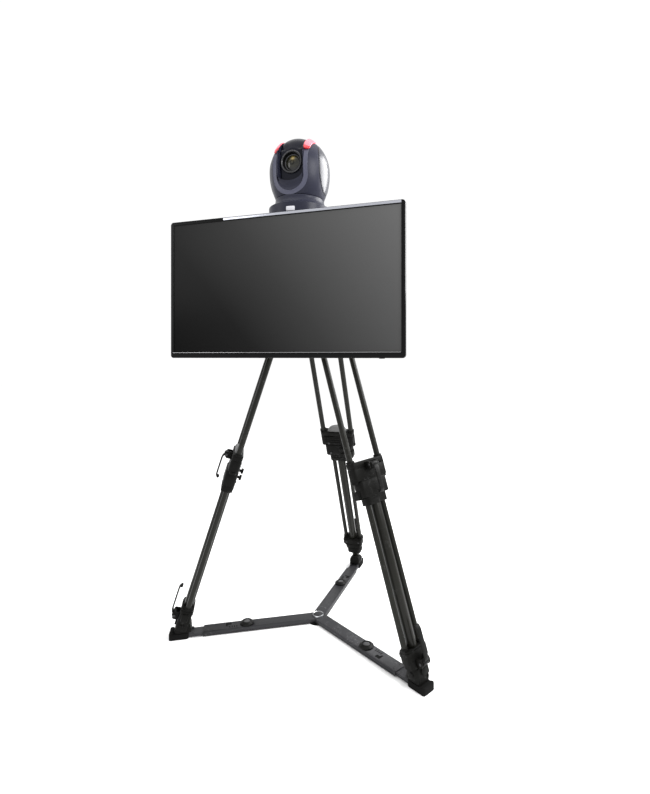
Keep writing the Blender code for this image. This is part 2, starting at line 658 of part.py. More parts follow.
# ---- Spreader --------------------------------------------------------------------------------
SLIDER_BOTTOM = CHANNEL_BOTTOM + 0.0010
SLIDER_TOP = CHANNEL_TOP - CHANNEL_WALL - 0.0005
STUD_RADIUS = 0.004


def make_channel(name, holder):
    """Arm channel, open below, with its inner end mitred to meet the other two."""
    half = CHANNEL_WIDTH / 2
    tip = 0.0004
    mitre = tip + half / math.tan(math.radians(60))
    shape = [(-half, CHANNEL_END), (-half, mitre), (0, tip), (half, mitre), (half, CHANNEL_END)]
    height = CHANNEL_TOP - CHANNEL_BOTTOM
    body = outline(shape, height, Matrix.Translation((0, 0, (CHANNEL_TOP + CHANNEL_BOTTOM) / 2)))
    start = 0.085
    inside = CHANNEL_TOP - CHANNEL_WALL
    hollow = block((CHANNEL_WIDTH - 2 * CHANNEL_WALL, CHANNEL_END - start + 0.05, 0.030),
                   (0, (start + CHANNEL_END + 0.05) / 2, inside - 0.015))
    hole = rod(STUD_RADIUS + 0.0005, 0.05, (0, KNOB_DISTANCE, CHANNEL_TOP), sides=12)
    add(name, cut(body, hollow, hole), "grey_channel", holder)


def make_slider(name, foot_holder):
    """Slotted bar that runs in the channel and ends in two ears under the foot."""
    centre = (SLIDER_START + SLIDER_END) / 2 - ANKLE_RADIUS
    middle = (SLIDER_BOTTOM + SLIDER_TOP) / 2 - ANKLE_HEIGHT
    bar = block((SLIDER_WIDTH, SLIDER_END - SLIDER_START, SLIDER_TOP - SLIDER_BOTTOM), (0, centre, middle))
    low = SLIDER_TOP - 0.002 - ANKLE_HEIGHT
    ear_top = PAD_HEIGHT - ANKLE_HEIGHT
    ears = [block((0.006, 0.014, ear_top - low), (x, SLIDER_END - 0.007 - ANKLE_RADIUS, (low + ear_top) / 2))
            for x in (-0.014, 0.014)]
    slot_start = KNOB_DISTANCE - 0.120 - ANKLE_RADIUS
    slot_end = KNOB_DISTANCE + 0.010 - ANKLE_RADIUS
    slot_size = (2 * STUD_RADIUS + 0.001, slot_end - slot_start, 0.05)
    slot = block(slot_size, (0, (slot_start + slot_end) / 2, middle))
    add(name, cut(join(bar, *ears), slot), "black_casting", foot_holder)


def make_knob(name, hub_holder, angle):
    """Lock knob with its threaded stud, on the arm's top face."""
    top = 0.0105
    holder = empty(name + "_axis", arm_frame(angle, KNOB_DISTANCE, CHANNEL_TOP))
    holder.parent = hub_holder
    holder.matrix_parent_inverse = hub_holder.matrix_world.inverted()
    profile = [(0, top - 0.002), (0.008, top - 0.002), (0.0095, top), (0.0135, top), (0.0225, top - 0.005),
               (0.0225, GAP), (STUD_RADIUS, GAP), (STUD_RADIUS, SLIDER_BOTTOM - CHANNEL_TOP),
               (0, SLIDER_BOTTOM - CHANNEL_TOP)]
    add(name, turned(profile, steps=20), "black_casting", holder)


def make_hub(holder):
    """Round base plate under the mitred arms, and the cap on top of them."""
    base_top = CHANNEL_BOTTOM - GAP
    rim = 0.036
    base = [(0, base_top), (rim - 0.002, base_top), (rim, base_top - 0.0012), (rim, 0.0), (0, 0.0)]
    add("spreader_hub", turned(base), "black_rubber", holder)
    low = CHANNEL_TOP + GAP
    dome = [(0.0185 * math.sin(math.radians(d)), low + 0.003 + 0.0065 * math.cos(math.radians(d)))
            for d in range(0, 91, 15)]
    dome[0] = (0, dome[0][1])
    add("hub_cap", turned(dome + [(0.0185, low), (0, low)]), "bright_steel", holder)


# ---- Assembly --------------------------------------------------------------------------------
def main():
    frames = {leg: leg_frame(angle) for leg, angle in LEG_ANGLES.items()}
    make_crown(empty("crown_frame", CROWN_FRAME), frames.values())
    make_bowl_ball()
    make_tie_down_knob()
    make_mast()
    make_camera_shelf()
    make_monitor_bracket()
    make_vesa_plate()
    make_monitor()

    make_camera_base()
    pan = empty("camera_pan_axis", Matrix.Translation((0, CAMERA_Y, TILT_HEIGHT)))
    tilt = empty("camera_tilt_axis", Matrix.Translation((0, CAMERA_Y, TILT_HEIGHT)))
    tilt.parent = pan
    tilt.matrix_parent_inverse = pan.matrix_world.inverted()
    make_camera_yoke(pan)
    make_camera_head(tilt)

    hub = empty("spreader_frame", Matrix.Identity(4))
    make_hub(hub)
    for leg, angle in LEG_ANGLES.items():
        fixed = empty(leg + "_leg_frame", frames[leg])
        sliding = empty(leg + "_extension_axis", frames[leg])
        foot = empty(leg + "_foot_frame", arm_frame(angle, ANKLE_RADIUS, ANKLE_HEIGHT))
        foot.parent = sliding
        foot.matrix_parent_inverse = sliding.matrix_world.inverted()
        bpy.context.view_layer.update()
        make_upper_stage(leg + "_upper_stage", fixed)
        make_middle_clamp(leg + "_middle_clamp", fixed, capped=leg != "right")
        make_middle_stage(leg + "_middle_stage", fixed)
        make_lower_clamp(leg + "_lower_clamp", fixed)
        make_lower_stage(leg, sliding, foot)
        make_slider(leg + "_spreader_slider", foot)

        upper = empty(leg + "_middle_lever_axis",
                      frames[leg] @ Matrix.Translation((0, LEVER_OFFSET, -MIDDLE_LEVER_PIVOT))
                      @ Matrix.Rotation(math.pi, 4, "Y"))
        lower = empty(leg + "_lower_lever_axis",
                      frames[leg] @ Matrix.Translation((0, LEVER_OFFSET, -LOWER_LEVER_PIVOT)))
        add(leg + "_middle_lever", lever(MIDDLE_LEVER_LENGTH), "black_casting", upper)
        add(leg + "_lower_lever", lever(LOWER_LEVER_LENGTH), "black_casting", lower)

        arm = empty(leg + "_arm_frame", arm_frame(angle))
        arm.parent = hub
        make_channel(leg + "_spreader_channel", arm)
        make_knob(leg + "_spreader_knob", hub, angle)

    bpy.context.scene.collection.children.unlink(WORKSHOP)
    bpy.data.collections.remove(WORKSHOP)


main()
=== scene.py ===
"""Looks of the remote camera and monitor on a tripod: studio, materials and fine meshes."""
import json
import math

import bmesh
import bpy
from mathutils import Matrix, Vector


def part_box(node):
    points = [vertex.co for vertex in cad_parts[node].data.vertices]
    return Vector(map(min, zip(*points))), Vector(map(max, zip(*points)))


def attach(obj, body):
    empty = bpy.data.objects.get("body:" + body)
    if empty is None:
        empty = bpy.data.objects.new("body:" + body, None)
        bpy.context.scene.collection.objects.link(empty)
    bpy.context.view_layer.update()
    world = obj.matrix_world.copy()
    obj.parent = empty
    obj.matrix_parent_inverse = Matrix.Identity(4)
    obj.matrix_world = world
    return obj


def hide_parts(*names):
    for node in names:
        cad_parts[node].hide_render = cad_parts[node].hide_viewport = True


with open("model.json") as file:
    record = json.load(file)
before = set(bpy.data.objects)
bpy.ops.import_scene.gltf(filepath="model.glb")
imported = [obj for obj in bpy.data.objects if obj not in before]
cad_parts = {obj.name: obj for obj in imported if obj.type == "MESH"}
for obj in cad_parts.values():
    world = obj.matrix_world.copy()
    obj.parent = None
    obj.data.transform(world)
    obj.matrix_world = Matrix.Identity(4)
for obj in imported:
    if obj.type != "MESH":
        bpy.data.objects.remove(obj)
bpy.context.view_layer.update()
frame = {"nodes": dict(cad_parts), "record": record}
scene = bpy.context.scene

# ---- Studio: pale floor, camera and lights -----------------------------------------------------
# A white paper floor in a white room, a level wide-angle camera at chest height to the right of the
# stand, and large soft lights that leave broad highlights on the dark plastic.
EYE = Vector((0.6041, -1.5143, 0.9034))
HEADING = math.radians(17.73)
FOCAL_LENGTH = 21.45
SENSOR_LONG_SIDE = 36.0

lens = bpy.data.cameras.new("studio_camera")
lens.lens = FOCAL_LENGTH
lens.sensor_width = SENSOR_LONG_SIDE
lens.shift_x = -0.0332
lens.shift_y = -0.0505
studio_camera = bpy.data.objects.new("studio_camera", lens)
studio_camera.location = EYE
studio_camera.rotation_euler = (math.pi / 2, 0.0, HEADING)
scene.collection.objects.link(studio_camera)
scene.camera = studio_camera
scene.view_settings.view_transform = "Standard"

bpy.ops.mesh.primitive_plane_add(size=30.0)
floor = bpy.context.object
floor.name = "studio_floor"
paper = bpy.data.materials.new("white_paper")
paper.use_nodes = True
paper_shader = paper.node_tree.nodes["Principled BSDF"]
paper_shader.inputs["Base Color"].default_value = (0.985, 0.985, 0.985, 1.0)
paper_shader.inputs["Roughness"].default_value = 0.9
paper_shader.inputs["Specular IOR Level"].default_value = 0.1
floor.data.materials.append(paper)

world = bpy.data.worlds.new("studio_world")
world.use_nodes = True
world.node_tree.nodes["Background"].inputs["Color"].default_value = (1.0, 1.0, 1.0, 1.0)
world.node_tree.nodes["Background"].inputs["Strength"].default_value = 1.04
scene.world = world


def soft_light(name, location, target, size, power):
    """A square soft box at location, turned to face target."""
    box_light = bpy.data.lights.new(name, "AREA")
    box_light.size = size
    box_light.energy = power
    holder = bpy.data.objects.new(name, box_light)
    holder.location = location
    holder.rotation_euler = (Vector(target) - Vector(location)).to_track_quat("-Z", "Y").to_euler()
    scene.collection.objects.link(holder)


soft_light("key_light", (2.4, -0.9, 2.3), (0, -0.15, 1.2), 1.2, 60)
soft_light("fill_light", (-2.6, -2.0, 1.8), (0, -0.1, 0.9), 1.6, 18)
soft_light("floor_light", (0.0, -0.4, 3.6), (0, 0, 0), 3.0, 34)
soft_light("rim_light", (1.9, 1.4, 2.3), (0, -0.15, 1.45), 1.9, 120)

# ---- Legs: upper stage -------------------------------------------------------------------------
# Two black anodised aluminium tubes bonded into a cast yoke that straddles the crown's lug and
# turns on its steel pin, with a plain ferrule where each tube leaves the yoke.
LEGS = {"back": 90.0, "left": 210.0, "right": 330.0}
LEVER_OFFSET = 0.034
MIDDLE_LEVER_DROP = 0.59
joints = {joint["name"]: joint for joint in frame["record"]["behaviour"]["joints"]}
TURNED = {"X": Matrix.Rotation(math.pi / 2, 4, "Y"),
          "Y": Matrix.Rotation(-math.pi / 2, 4, "X"),
          "Z": Matrix.Identity(4)}


def leg_place(leg):
    """Origin on the hinge pin, X across the leg, Y outwards, Z up the leg."""
    lever_joint = joints[leg + "_middle_lever_flip"]
    across = Vector(lever_joint["axis"])
    up = -Vector(joints[leg + "_leg_extension"]["axis"])
    outward = up.cross(across)
    place = Matrix((across, outward, up)).transposed().to_4x4()
    place.translation = Vector(lever_joint["pos_m"]) - outward * LEVER_OFFSET + up * MIDDLE_LEVER_DROP
    return place


def local_box(node, place):
    """Lowest and highest corners of a CAD node, seen in a frame of its own."""
    back = place.inverted()
    points = [back @ vertex.co for vertex in frame["nodes"][node].data.vertices]
    return tuple(Vector([pick(point[i] for point in points) for i in range(3)]) for pick in (min, max))


def break_edges(shape, offset, angle=40.0, segments=2):
    """Round every edge that turns by more than angle."""
    sharp = [shade_edge for shade_edge in shape.edges
             if len(shade_edge.link_faces) == 2 and shade_edge.calc_face_angle(0.0) > math.radians(angle)]
    bmesh.ops.bevel(shape, geom=sharp, offset=offset, segments=segments, profile=0.5,
                    affect="EDGES", material=-1, clamp_overlap=True)
    return shape


def box(low, high, corner=0.0, shade_edge=0.0, axis="Z"):
    """A block between two corners, rounded by corner along axis and broken by edge elsewhere."""
    low, high = Vector(low), Vector(high)
    shape = bmesh.new()
    bmesh.ops.create_cube(shape, size=1.0,
                          matrix=Matrix.Translation((low + high) / 2)
                          @ Matrix.Diagonal((*(high - low), 1.0)))
    if corner:
        along = "XYZ".index(axis)
        upright = [e for e in shape.edges if abs(e.verts[0].co[along] - e.verts[1].co[along]) > 1e-6]
        bmesh.ops.bevel(shape, geom=upright, offset=corner, segments=5, profile=0.5,
                        affect="EDGES", material=-1)
    if shade_edge:
        break_edges(shape, shade_edge)
    return shape


def bar(radius, start, end, sides=32, shade_edge=0.0, end_radius=None):
    """A round bar between two points, its rims broken by edge."""
    start, end = Vector(start), Vector(end)
    along = end - start
    shape = bmesh.new()
    bmesh.ops.create_cone(shape, cap_ends=True, segments=sides, radius1=radius,
                          radius2=radius if end_radius is None else end_radius, depth=along.length,
                          matrix=Matrix.Translation((start + end) / 2)
                          @ along.to_track_quat("Z", "Y").to_matrix().to_4x4())
    if shade_edge:
        break_edges(shape, shade_edge, angle=30.0)
    return shape


def lathe(profile, centre=(0, 0, 0), axis="Z", steps=64):
    """A profile of (radius, height) points turned a full circle about an axis through centre."""
    shape = bmesh.new()
    points = [shape.verts.new((radius, 0.0, height)) for radius, height in profile]
    for near, far in zip(points, points[1:]):
        shape.edges.new((near, far))
    bmesh.ops.spin(shape, geom=shape.verts[:] + shape.edges[:], cent=(0, 0, 0), axis=(0, 0, 1),
                   steps=steps, angle=2 * math.pi, use_merge=True)
    bmesh.ops.remove_doubles(shape, verts=shape.verts, dist=1e-6)
    bmesh.ops.recalc_face_normals(shape, faces=shape.faces)
    shape.transform(Matrix.Translation(centre) @ TURNED[axis])
    return shape


def piece(name, shapes, finish, body, stands_for=(), place=None, sharp=35.0):
    """Join shapes into one named piece with its finish, and let it ride on a body."""
    whole = bmesh.new()
    for shape in shapes:
        part = bpy.data.meshes.new(name)
        shape.to_mesh(part)
        shape.free()
        whole.from_mesh(part)
        bpy.data.meshes.remove(part)
    if place:
        whole.transform(place)
    mesh = bpy.data.meshes.new(name)
    whole.to_mesh(mesh)
    whole.free()
    mesh.materials.append(finish)
    mesh.shade_smooth()
    mesh.set_sharp_from_angle(angle=math.radians(sharp))
    made = bpy.data.objects.new(name, mesh)
    scene.collection.objects.link(made)
    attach(made, body)
    if stands_for:
        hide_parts(*stands_for)
    return made


def new_group(name, inputs, outputs):
    """An empty node group with float inputs (name, default) and float outputs."""
    group = bpy.data.node_groups.new(name, "ShaderNodeTree")
    for label, value in inputs:
        group.interface.new_socket(name=label, in_out="INPUT",
                                   socket_type="NodeSocketFloat").default_value = value
    for label in outputs:
        group.interface.new_socket(name=label, in_out="OUTPUT", socket_type="NodeSocketFloat")
    return group, group.nodes.new("NodeGroupInput"), group.nodes.new("NodeGroupOutput")


def link_all(tree, *pairs):
    """Link each output socket to its input socket."""
    for source, target in pairs:
        tree.links.new(source, target)


# Moulded or powder-coated grain: a fine height, and broad patches that vary colour and gloss.
surface_grain, entry, result = new_group("surface_grain", (("Grain Scale", 900.0), ("Patch Scale", 12.0)),
                                         ("Height", "Patch"))
where = surface_grain.nodes.new("ShaderNodeTexCoord")
for socket, scale_socket, detail in (("Height", "Grain Scale", 3.0), ("Patch", "Patch Scale", 5.0)):
    noise = surface_grain.nodes.new("ShaderNodeTexNoise")
    noise.inputs["Detail"].default_value = detail
    surface_grain.links.new(where.outputs["Object"], noise.inputs["Vector"])
    surface_grain.links.new(entry.outputs[scale_socket], noise.inputs["Scale"])
    surface_grain.links.new(noise.outputs["Fac"], result.inputs[socket])

# Handling marks: thin broken lines where two noises cross, as fine scratches from cases and hands.
handling_marks, entry, result = new_group("handling_marks", (("Scale", 40.0), ("Width", 0.012)), ("Mask",))
where = handling_marks.nodes.new("ShaderNodeTexCoord")
lines = handling_marks.nodes.new("ShaderNodeTexNoise")
lines.inputs["Detail"].default_value = 1.0
lines.inputs["Distortion"].default_value = 1.5
patches = handling_marks.nodes.new("ShaderNodeTexNoise")
patches.inputs["Scale"].default_value = 17.0
distance = handling_marks.nodes.new("ShaderNodeMath")
distance.operation = "COMPARE"
distance.inputs[1].default_value = 0.5
broken = handling_marks.nodes.new("ShaderNodeMapRange")
broken.inputs["From Min"].default_value = 0.52
broken.inputs["From Max"].default_value = 0.62
product = handling_marks.nodes.new("ShaderNodeMath")
product.operation = "MULTIPLY"
link_all(handling_marks,
         (where.outputs["Object"], lines.inputs["Vector"]),
         (where.outputs["Object"], patches.inputs["Vector"]),
         (entry.outputs["Scale"], lines.inputs["Scale"]),
         (lines.outputs["Fac"], distance.inputs[0]),
         (entry.outputs["Width"], distance.inputs[2]),
         (patches.outputs["Fac"], broken.inputs["Value"]),
         (distance.outputs["Value"], product.inputs[0]),
         (broken.outputs["Result"], product.inputs[1]),
         (product.outputs["Value"], result.inputs["Mask"]))


def plain_material(name, colour, roughness, metallic=0.0, specular=0.5):
    """A new material and its Principled shader with even settings."""
    made = bpy.data.materials.new(name)
    made.use_nodes = True
    shader = made.node_tree.nodes["Principled BSDF"]
    shader.inputs["Base Color"].default_value = (*colour, 1.0)
    shader.inputs["Roughness"].default_value = roughness
    shader.inputs["Metallic"].default_value = metallic
    shader.inputs["Specular IOR Level"].default_value = specular
    return made, made.node_tree, shader


def add_bump(tree, shader, height, strength, depth):
    """Let a height tilt the shader's normal."""
    bump = tree.nodes.new("ShaderNodeBump")
    bump.inputs["Strength"].default_value = strength
    bump.inputs["Distance"].default_value = depth
    tree.links.new(height, bump.inputs["Height"])
    tree.links.new(bump.outputs["Normal"], shader.inputs["Normal"])


def grained(name, colour, roughness, metallic=0.0, specular=0.3, grain=900.0, depth=0.00015, patch=12.0,
            variation=0.2, marks=0.0):
    """A moulded, coated or anodised surface: grain, uneven tone and gloss, and fine handling marks."""
    made, tree, shader = plain_material(name, colour, roughness, metallic, specular)
    surface = tree.nodes.new("ShaderNodeGroup")
    surface.node_tree = surface_grain
    surface.inputs["Grain Scale"].default_value = grain
    surface.inputs["Patch Scale"].default_value = patch
    tone = tree.nodes.new("ShaderNodeMixRGB")
    tone.inputs["Color1"].default_value = (*[c * (1 - variation) for c in colour], 1.0)
    tone.inputs["Color2"].default_value = (*[c * (1 + variation) for c in colour], 1.0)
    tree.links.new(surface.outputs["Patch"], tone.inputs["Fac"])
    gloss = tree.nodes.new("ShaderNodeMapRange")
    gloss.inputs["From Min"].default_value = 0.3
    gloss.inputs["From Max"].default_value = 0.7
    gloss.inputs["To Min"].default_value = roughness - 0.06
    gloss.inputs["To Max"].default_value = roughness + 0.06
    tree.links.new(surface.outputs["Patch"], gloss.inputs["Value"])
    tree.links.new(gloss.outputs["Result"], shader.inputs["Roughness"])
    add_bump(tree, shader, surface.outputs["Height"], 0.6, depth)
    last_tone = tone
    if marks:
        scratches = tree.nodes.new("ShaderNodeGroup")
        scratches.node_tree = handling_marks
        last_tone = tree.nodes.new("ShaderNodeMixRGB")
        last_tone.inputs["Color2"].default_value = (*[c + marks for c in colour], 1.0)
        tree.links.new(scratches.outputs["Mask"], last_tone.inputs["Fac"])
        tree.links.new(tone.outputs["Color"], last_tone.inputs["Color1"])
    tree.links.new(last_tone.outputs["Color"], shader.inputs["Base Color"])
    return made


anodised = grained("anodised_tube", (0.0075, 0.0075, 0.0058), 0.32, specular=0.16, grain=2500.0,
                   depth=0.00002, patch=6.0, variation=0.35, marks=0.02)
casting = grained("painted_casting", (0.0036, 0.0036, 0.0032), 0.5, specular=0.07, grain=1400.0,
                  depth=0.0002, variation=0.35, marks=0.03)
steel = grained("bright_steel", (0.55, 0.56, 0.58), 0.28, metallic=1.0, grain=3000.0, depth=0.00002,
                variation=0.1)
screw_black = grained("blackened_steel", (0.045, 0.045, 0.047), 0.35, metallic=1.0, grain=2500.0,
                      depth=0.00003, variation=0.2)
YOKE_TOP = 0.013
YOKE_BOTTOM = -0.032
YOKE_BACK, YOKE_FRONT = -0.0078, 0.0128
UPPER_RADIUS = 0.009
PIN_RADIUS = 0.0078
for leg in LEGS:
    place = leg_place(leg)
    low, high = local_box(leg + "_upper_stage", place)
    tube_x = high.x - UPPER_RADIUS
    end_x = tube_x + UPPER_RADIUS - 0.0003
    shapes = [box((-end_x, YOKE_BACK, YOKE_BOTTOM), (end_x, YOKE_FRONT, -0.0195), corner=0.004,
                  shade_edge=0.0015)]
    for side in (-1, 1):
        cheek = sorted((side * 0.0213, side * end_x))
        shapes.append(box((cheek[0], YOKE_BACK, -0.021), (cheek[1], YOKE_FRONT, YOKE_TOP), corner=0.004,
                          shade_edge=0.0015))
        shapes.append(bar(0.0125, (side * 0.024, 0, 0), (side * (end_x - 0.003), 0, 0), shade_edge=0.001))
        shapes.append(bar(UPPER_RADIUS + 0.0017, (side * tube_x, 0, YOKE_BOTTOM + 0.002),
                          (side * tube_x, 0, YOKE_BOTTOM - 0.014), shade_edge=0.0008))
    piece(leg + "_yoke", shapes, casting, "stand", place=place)
    tubes = [bar(UPPER_RADIUS, (side * tube_x, 0, YOKE_BOTTOM + 0.004), (side * tube_x, 0, low.z), sides=40)
             for side in (-1, 1)]
    piece(leg + "_upper_tubes", tubes, anodised, "stand", (leg + "_upper_stage",), place)
    heads = [bar(PIN_RADIUS, (side * (end_x - 0.001), 0, 0), (side * (end_x + 0.0034), 0, 0), shade_edge=0.001)
             for side in (-1, 1)]
    heads += [bar(0.004, (side * (end_x + 0.003), 0, 0), (side * (end_x + 0.0042), 0, 0), sides=6)
              for side in (-1, 1)]
    piece(leg + "_hinge_screws", heads, screw_black, "stand", place=place)

# ---- Legs: middle clamp ------------------------------------------------------------------------
# A die-cast clamp, painted matt black, that holds both upper tubes in its ends and the middle tubes
# below: a slot through its face, ribs, lever lugs, studs for a raised spreader and screws.  The left
# and back legs carry a grey dome on top.
cap_grey = grained("grey_cap", (0.11, 0.11, 0.11), 0.45, specular=0.35, grain=1200.0, depth=0.0001,
                   variation=0.15)
SLOT_INNER, SLOT_OUTER = -0.017, -0.047
CLAMP_HALF, CLAMP_DEPTH = 0.0645, 0.017
STUD_X = 0.02
CAP_HEIGHT = {"left": 0.0266, "right": 0.0, "back": 0.0266}
for leg in LEGS:
    place = leg_place(leg)
    low, high = local_box(leg + "_middle_clamp", place)
    top, bottom = high.z - CAP_HEIGHT[leg], low.z
    split = bottom + 0.048
    slot_top = top - 0.015
    slot_bottom = slot_top - 0.0036
    shapes = [box((-CLAMP_HALF, -CLAMP_DEPTH, slot_top), (CLAMP_HALF, CLAMP_DEPTH, top), corner=0.01,
                  shade_edge=0.0016),
              box((-CLAMP_HALF, -CLAMP_DEPTH, split), (CLAMP_HALF, CLAMP_DEPTH, slot_bottom), corner=0.01,
                  shade_edge=0.0016),
              box((SLOT_INNER, -0.0155, slot_bottom - 0.003),
                  (CLAMP_HALF - 0.0015, 0.0155, slot_top + 0.003), corner=0.008),
              box((-CLAMP_HALF + 0.0015, -0.0155, slot_bottom - 0.003),
                  (SLOT_OUTER, 0.0155, slot_top + 0.003), corner=0.005),
              box((-0.053, -0.019, bottom), (0.053, 0.021, split - 0.002), corner=0.012, shade_edge=0.002),
              box((-0.05, -0.0165, split - 0.003), (0.05, 0.018, split + 0.002), corner=0.01)]
    for step in range(3):
        rib = split + 0.008 + step * 0.009
        shapes.append(box((-0.048, -CLAMP_DEPTH - 0.0018, rib),
                          (0.01, -CLAMP_DEPTH + 0.002, rib + 0.0035), shade_edge=0.0008))
    for x in (-0.0555, 0.0555):
        shapes.append(bar(0.0125, (x, 0, top - 0.002), (x, 0, top + 0.006), shade_edge=0.0012))
        shapes.append(bar(0.0118, (x, 0, split + 0.001), (x, 0, split - 0.007), shade_edge=0.0015))
    for x in (-0.015, 0.015):
        centre_z = -MIDDLE_LEVER_DROP
        shapes.append(box((x - 0.003, 0.014, centre_z - 0.011), (x + 0.003, 0.0372, centre_z + 0.011),
                          corner=0.007, shade_edge=0.0008, axis="X"))
    for drop in (0.036, 0.014):
        shapes.append(lathe([(0, 0.0365), (0.0076, 0.036), (0.009, 0.0345), (0.009, 0.029), (0.0045, 0.029),
                             (0.0045, 0.015), (0, 0.015)], (STUD_X, 0, bottom + drop), "Y"))
        shapes[-1].transform(Matrix.Translation((STUD_X, 0, 0)) @ Matrix.Rotation(math.pi, 4, "Z")
                             @ Matrix.Translation((-STUD_X, 0, 0)))
    shapes.append(box((0.03, -0.023, bottom - 0.004), (0.058, 0.006, bottom + 0.02), corner=0.004,
                      shade_edge=0.0015))
    piece(leg + "_middle_clamp_body", shapes, casting, "stand", (leg + "_middle_clamp",),
          place)

    if CAP_HEIGHT[leg] > 0:
        dome = lathe([(0, 0.0115), (0.026, 0.0115), (0.0345, 0.0095), (0.0365, 0.0065), (0.0365, -0.0065),
                      (0.0345, -0.0095), (0.026, -0.0115), (0, -0.0115)], axis="Y", steps=72)
        bmesh.ops.bisect_plane(dome, geom=dome.verts[:] + dome.edges[:] + dome.faces[:], plane_co=(0, 0, 0),
                               plane_no=(0, 0, -1), clear_outer=True)
        bmesh.ops.holes_fill(dome, edges=[shade_edge for shade_edge in dome.edges if shade_edge.is_boundary])
        dome.transform(Matrix.Translation((0, 0.001, top - 0.001)) @ Matrix.Diagonal((1, 1, 0.62, 1)))
        piece(leg + "_clamp_cap", [dome], cap_grey, "stand", place=place)

    screws = []
    for x, y, z in ((-0.034, -CLAMP_DEPTH - 0.0002, split + 0.006),
                    (0.034, -CLAMP_DEPTH - 0.0002, split + 0.006), (-0.03, -0.0192, bottom + 0.012)):
        screws.append(bar(0.0042, (x, y + 0.002, z), (x, y - 0.0018, z), shade_edge=0.0006))
        screws.append(bar(0.002, (x, y - 0.0015, z), (x, y - 0.0021, z), sides=6))
    piece(leg + "_clamp_screws", screws, screw_black, "stand", place=place)

# ---- Legs: middle stage and lower clamp --------------------------------------------------------
# Two thinner tubes tied by a collar at the top and by the lower clamp at the foot; the lower tube
# slides through both.  The lower clamp has lever lugs, a small block on its side and two screws.
rubber = grained("black_rubber", (0.004, 0.004, 0.0038), 0.8, specular=0.08, grain=1800.0, depth=0.0002,
                 variation=0.3)


def bridge_rows(shape, rows):
    """Join each loop or row of edges to the next one with faces."""
    for near, far in zip(rows, rows[1:]):
        bmesh.ops.bridge_loops(shape, edges=near + far)


def sleeve(outer_half, depth, z_low, z_high, corner, hole):
    """A rounded block with a round hole down its middle for the lower tube."""
    shape = bmesh.new()
    rims = []
    for z in (z_low, z_high):
        outer = bmesh.ops.create_grid(shape, x_segments=1, y_segments=1, size=1.0)["verts"]
        for vertex in outer:
            vertex.co = (vertex.co.x * outer_half, vertex.co.y * depth, z)
        bmesh.ops.bevel(shape, geom=outer, offset=corner, segments=7, profile=0.5, affect="VERTICES",
                        material=-1)
        faces = [face for face in shape.faces if abs(face.calc_center_median().z - z) < 1e-6]
        border = {shade_edge for face in faces for shade_edge in face.edges}
        bmesh.ops.delete(shape, geom=faces, context="FACES_ONLY")
        circle = bmesh.ops.create_circle(shape, cap_ends=False, segments=32, radius=hole,
                                         matrix=Matrix.Translation((0, 0, z)))["verts"]
        inner = {shade_edge for vertex in circle for shade_edge in vertex.link_edges}
        rims.append((list(border), list(inner)))
    (low_outer, low_inner), (high_outer, high_inner) = rims
    bridge_rows(shape, [low_outer, high_outer, high_inner, low_inner, low_outer])
    bmesh.ops.recalc_face_normals(shape, faces=shape.faces)
    return shape


MIDDLE_RADIUS, MIDDLE_X = 0.008, 0.03
for leg in LEGS:
    place = leg_place(leg)
    low, high = local_box(leg + "_middle_stage", place)
    clamp_low, clamp_high = local_box(leg + "_lower_clamp", place)
    lower_radius = local_box(leg + "_lower_tube", place)[1].x
    tubes = [bar(MIDDLE_RADIUS, (side * MIDDLE_X, 0, high.z - 0.004), (side * MIDDLE_X, 0, low.z), sides=40)
             for side in (-1, 1)]
    piece(leg + "_middle_tubes", tubes, anodised, "stand", (leg + "_middle_stage",), place)

    hole = lower_radius + 0.0006
    collar = [sleeve(0.04, 0.0185, high.z - 0.0235, high.z, 0.012, hole),
              sleeve(0.0385, 0.02, high.z - 0.015, high.z - 0.0085, 0.012, hole)]
    piece(leg + "_collar", collar, casting, "stand", place=place)

    top, bottom = clamp_high.z, clamp_low.z
    pivot_z = bottom + 0.012
    shapes = [sleeve(0.039, 0.019, bottom + 0.016, top, 0.01, hole),
              sleeve(0.033, 0.02, bottom, bottom + 0.018, 0.01, hole),
              sleeve(0.0405, 0.0205, top - 0.013, top - 0.005, 0.01, hole)]
    for side in (-1, 1):
        shapes.append(bar(0.0105, (side * MIDDLE_X, 0, top - 0.002), (side * MIDDLE_X, 0, top + 0.007),
                          shade_edge=0.001))
        shapes.append(box((side * 0.015 - 0.003, 0.016, pivot_z - 0.011),
                          (side * 0.015 + 0.003, 0.0392, pivot_z + 0.011), corner=0.007, shade_edge=0.0008,
                          axis="X"))
    shapes.append(box((-0.044, -0.01, bottom + 0.012), (-0.036, 0.012, bottom + 0.036), corner=0.003,
                      shade_edge=0.001))
    piece(leg + "_lower_clamp_body", shapes, casting, "stand", (leg + "_lower_clamp",),
          place)
    screws = []
    for side in (-1, 1):
        at = Vector((side * 0.026, -0.0188, bottom + 0.032))
        screws.append(bar(0.0038, at + Vector((0, 0.002, 0)), at + Vector((0, -0.002, 0)), shade_edge=0.0006))
        screws.append(bar(0.0018, at + Vector((0, -0.0018, 0)), at + Vector((0, -0.0023, 0)), sides=6))
    piece(leg + "_lower_clamp_screws", screws, screw_black, "stand", place=place)

# ---- Legs: clamp levers ------------------------------------------------------------------------
# Glass-filled nylon levers with a barrel that squeezes the clamp shut, a bent arm and a rounded tip
# for the finger.  The middle ones hang down and the lower ones stand up.
nylon = grained("black_nylon", (0.0045, 0.0045, 0.0043), 0.42, specular=0.1, grain=1100.0, depth=0.00012,
                variation=0.25, marks=0.02)


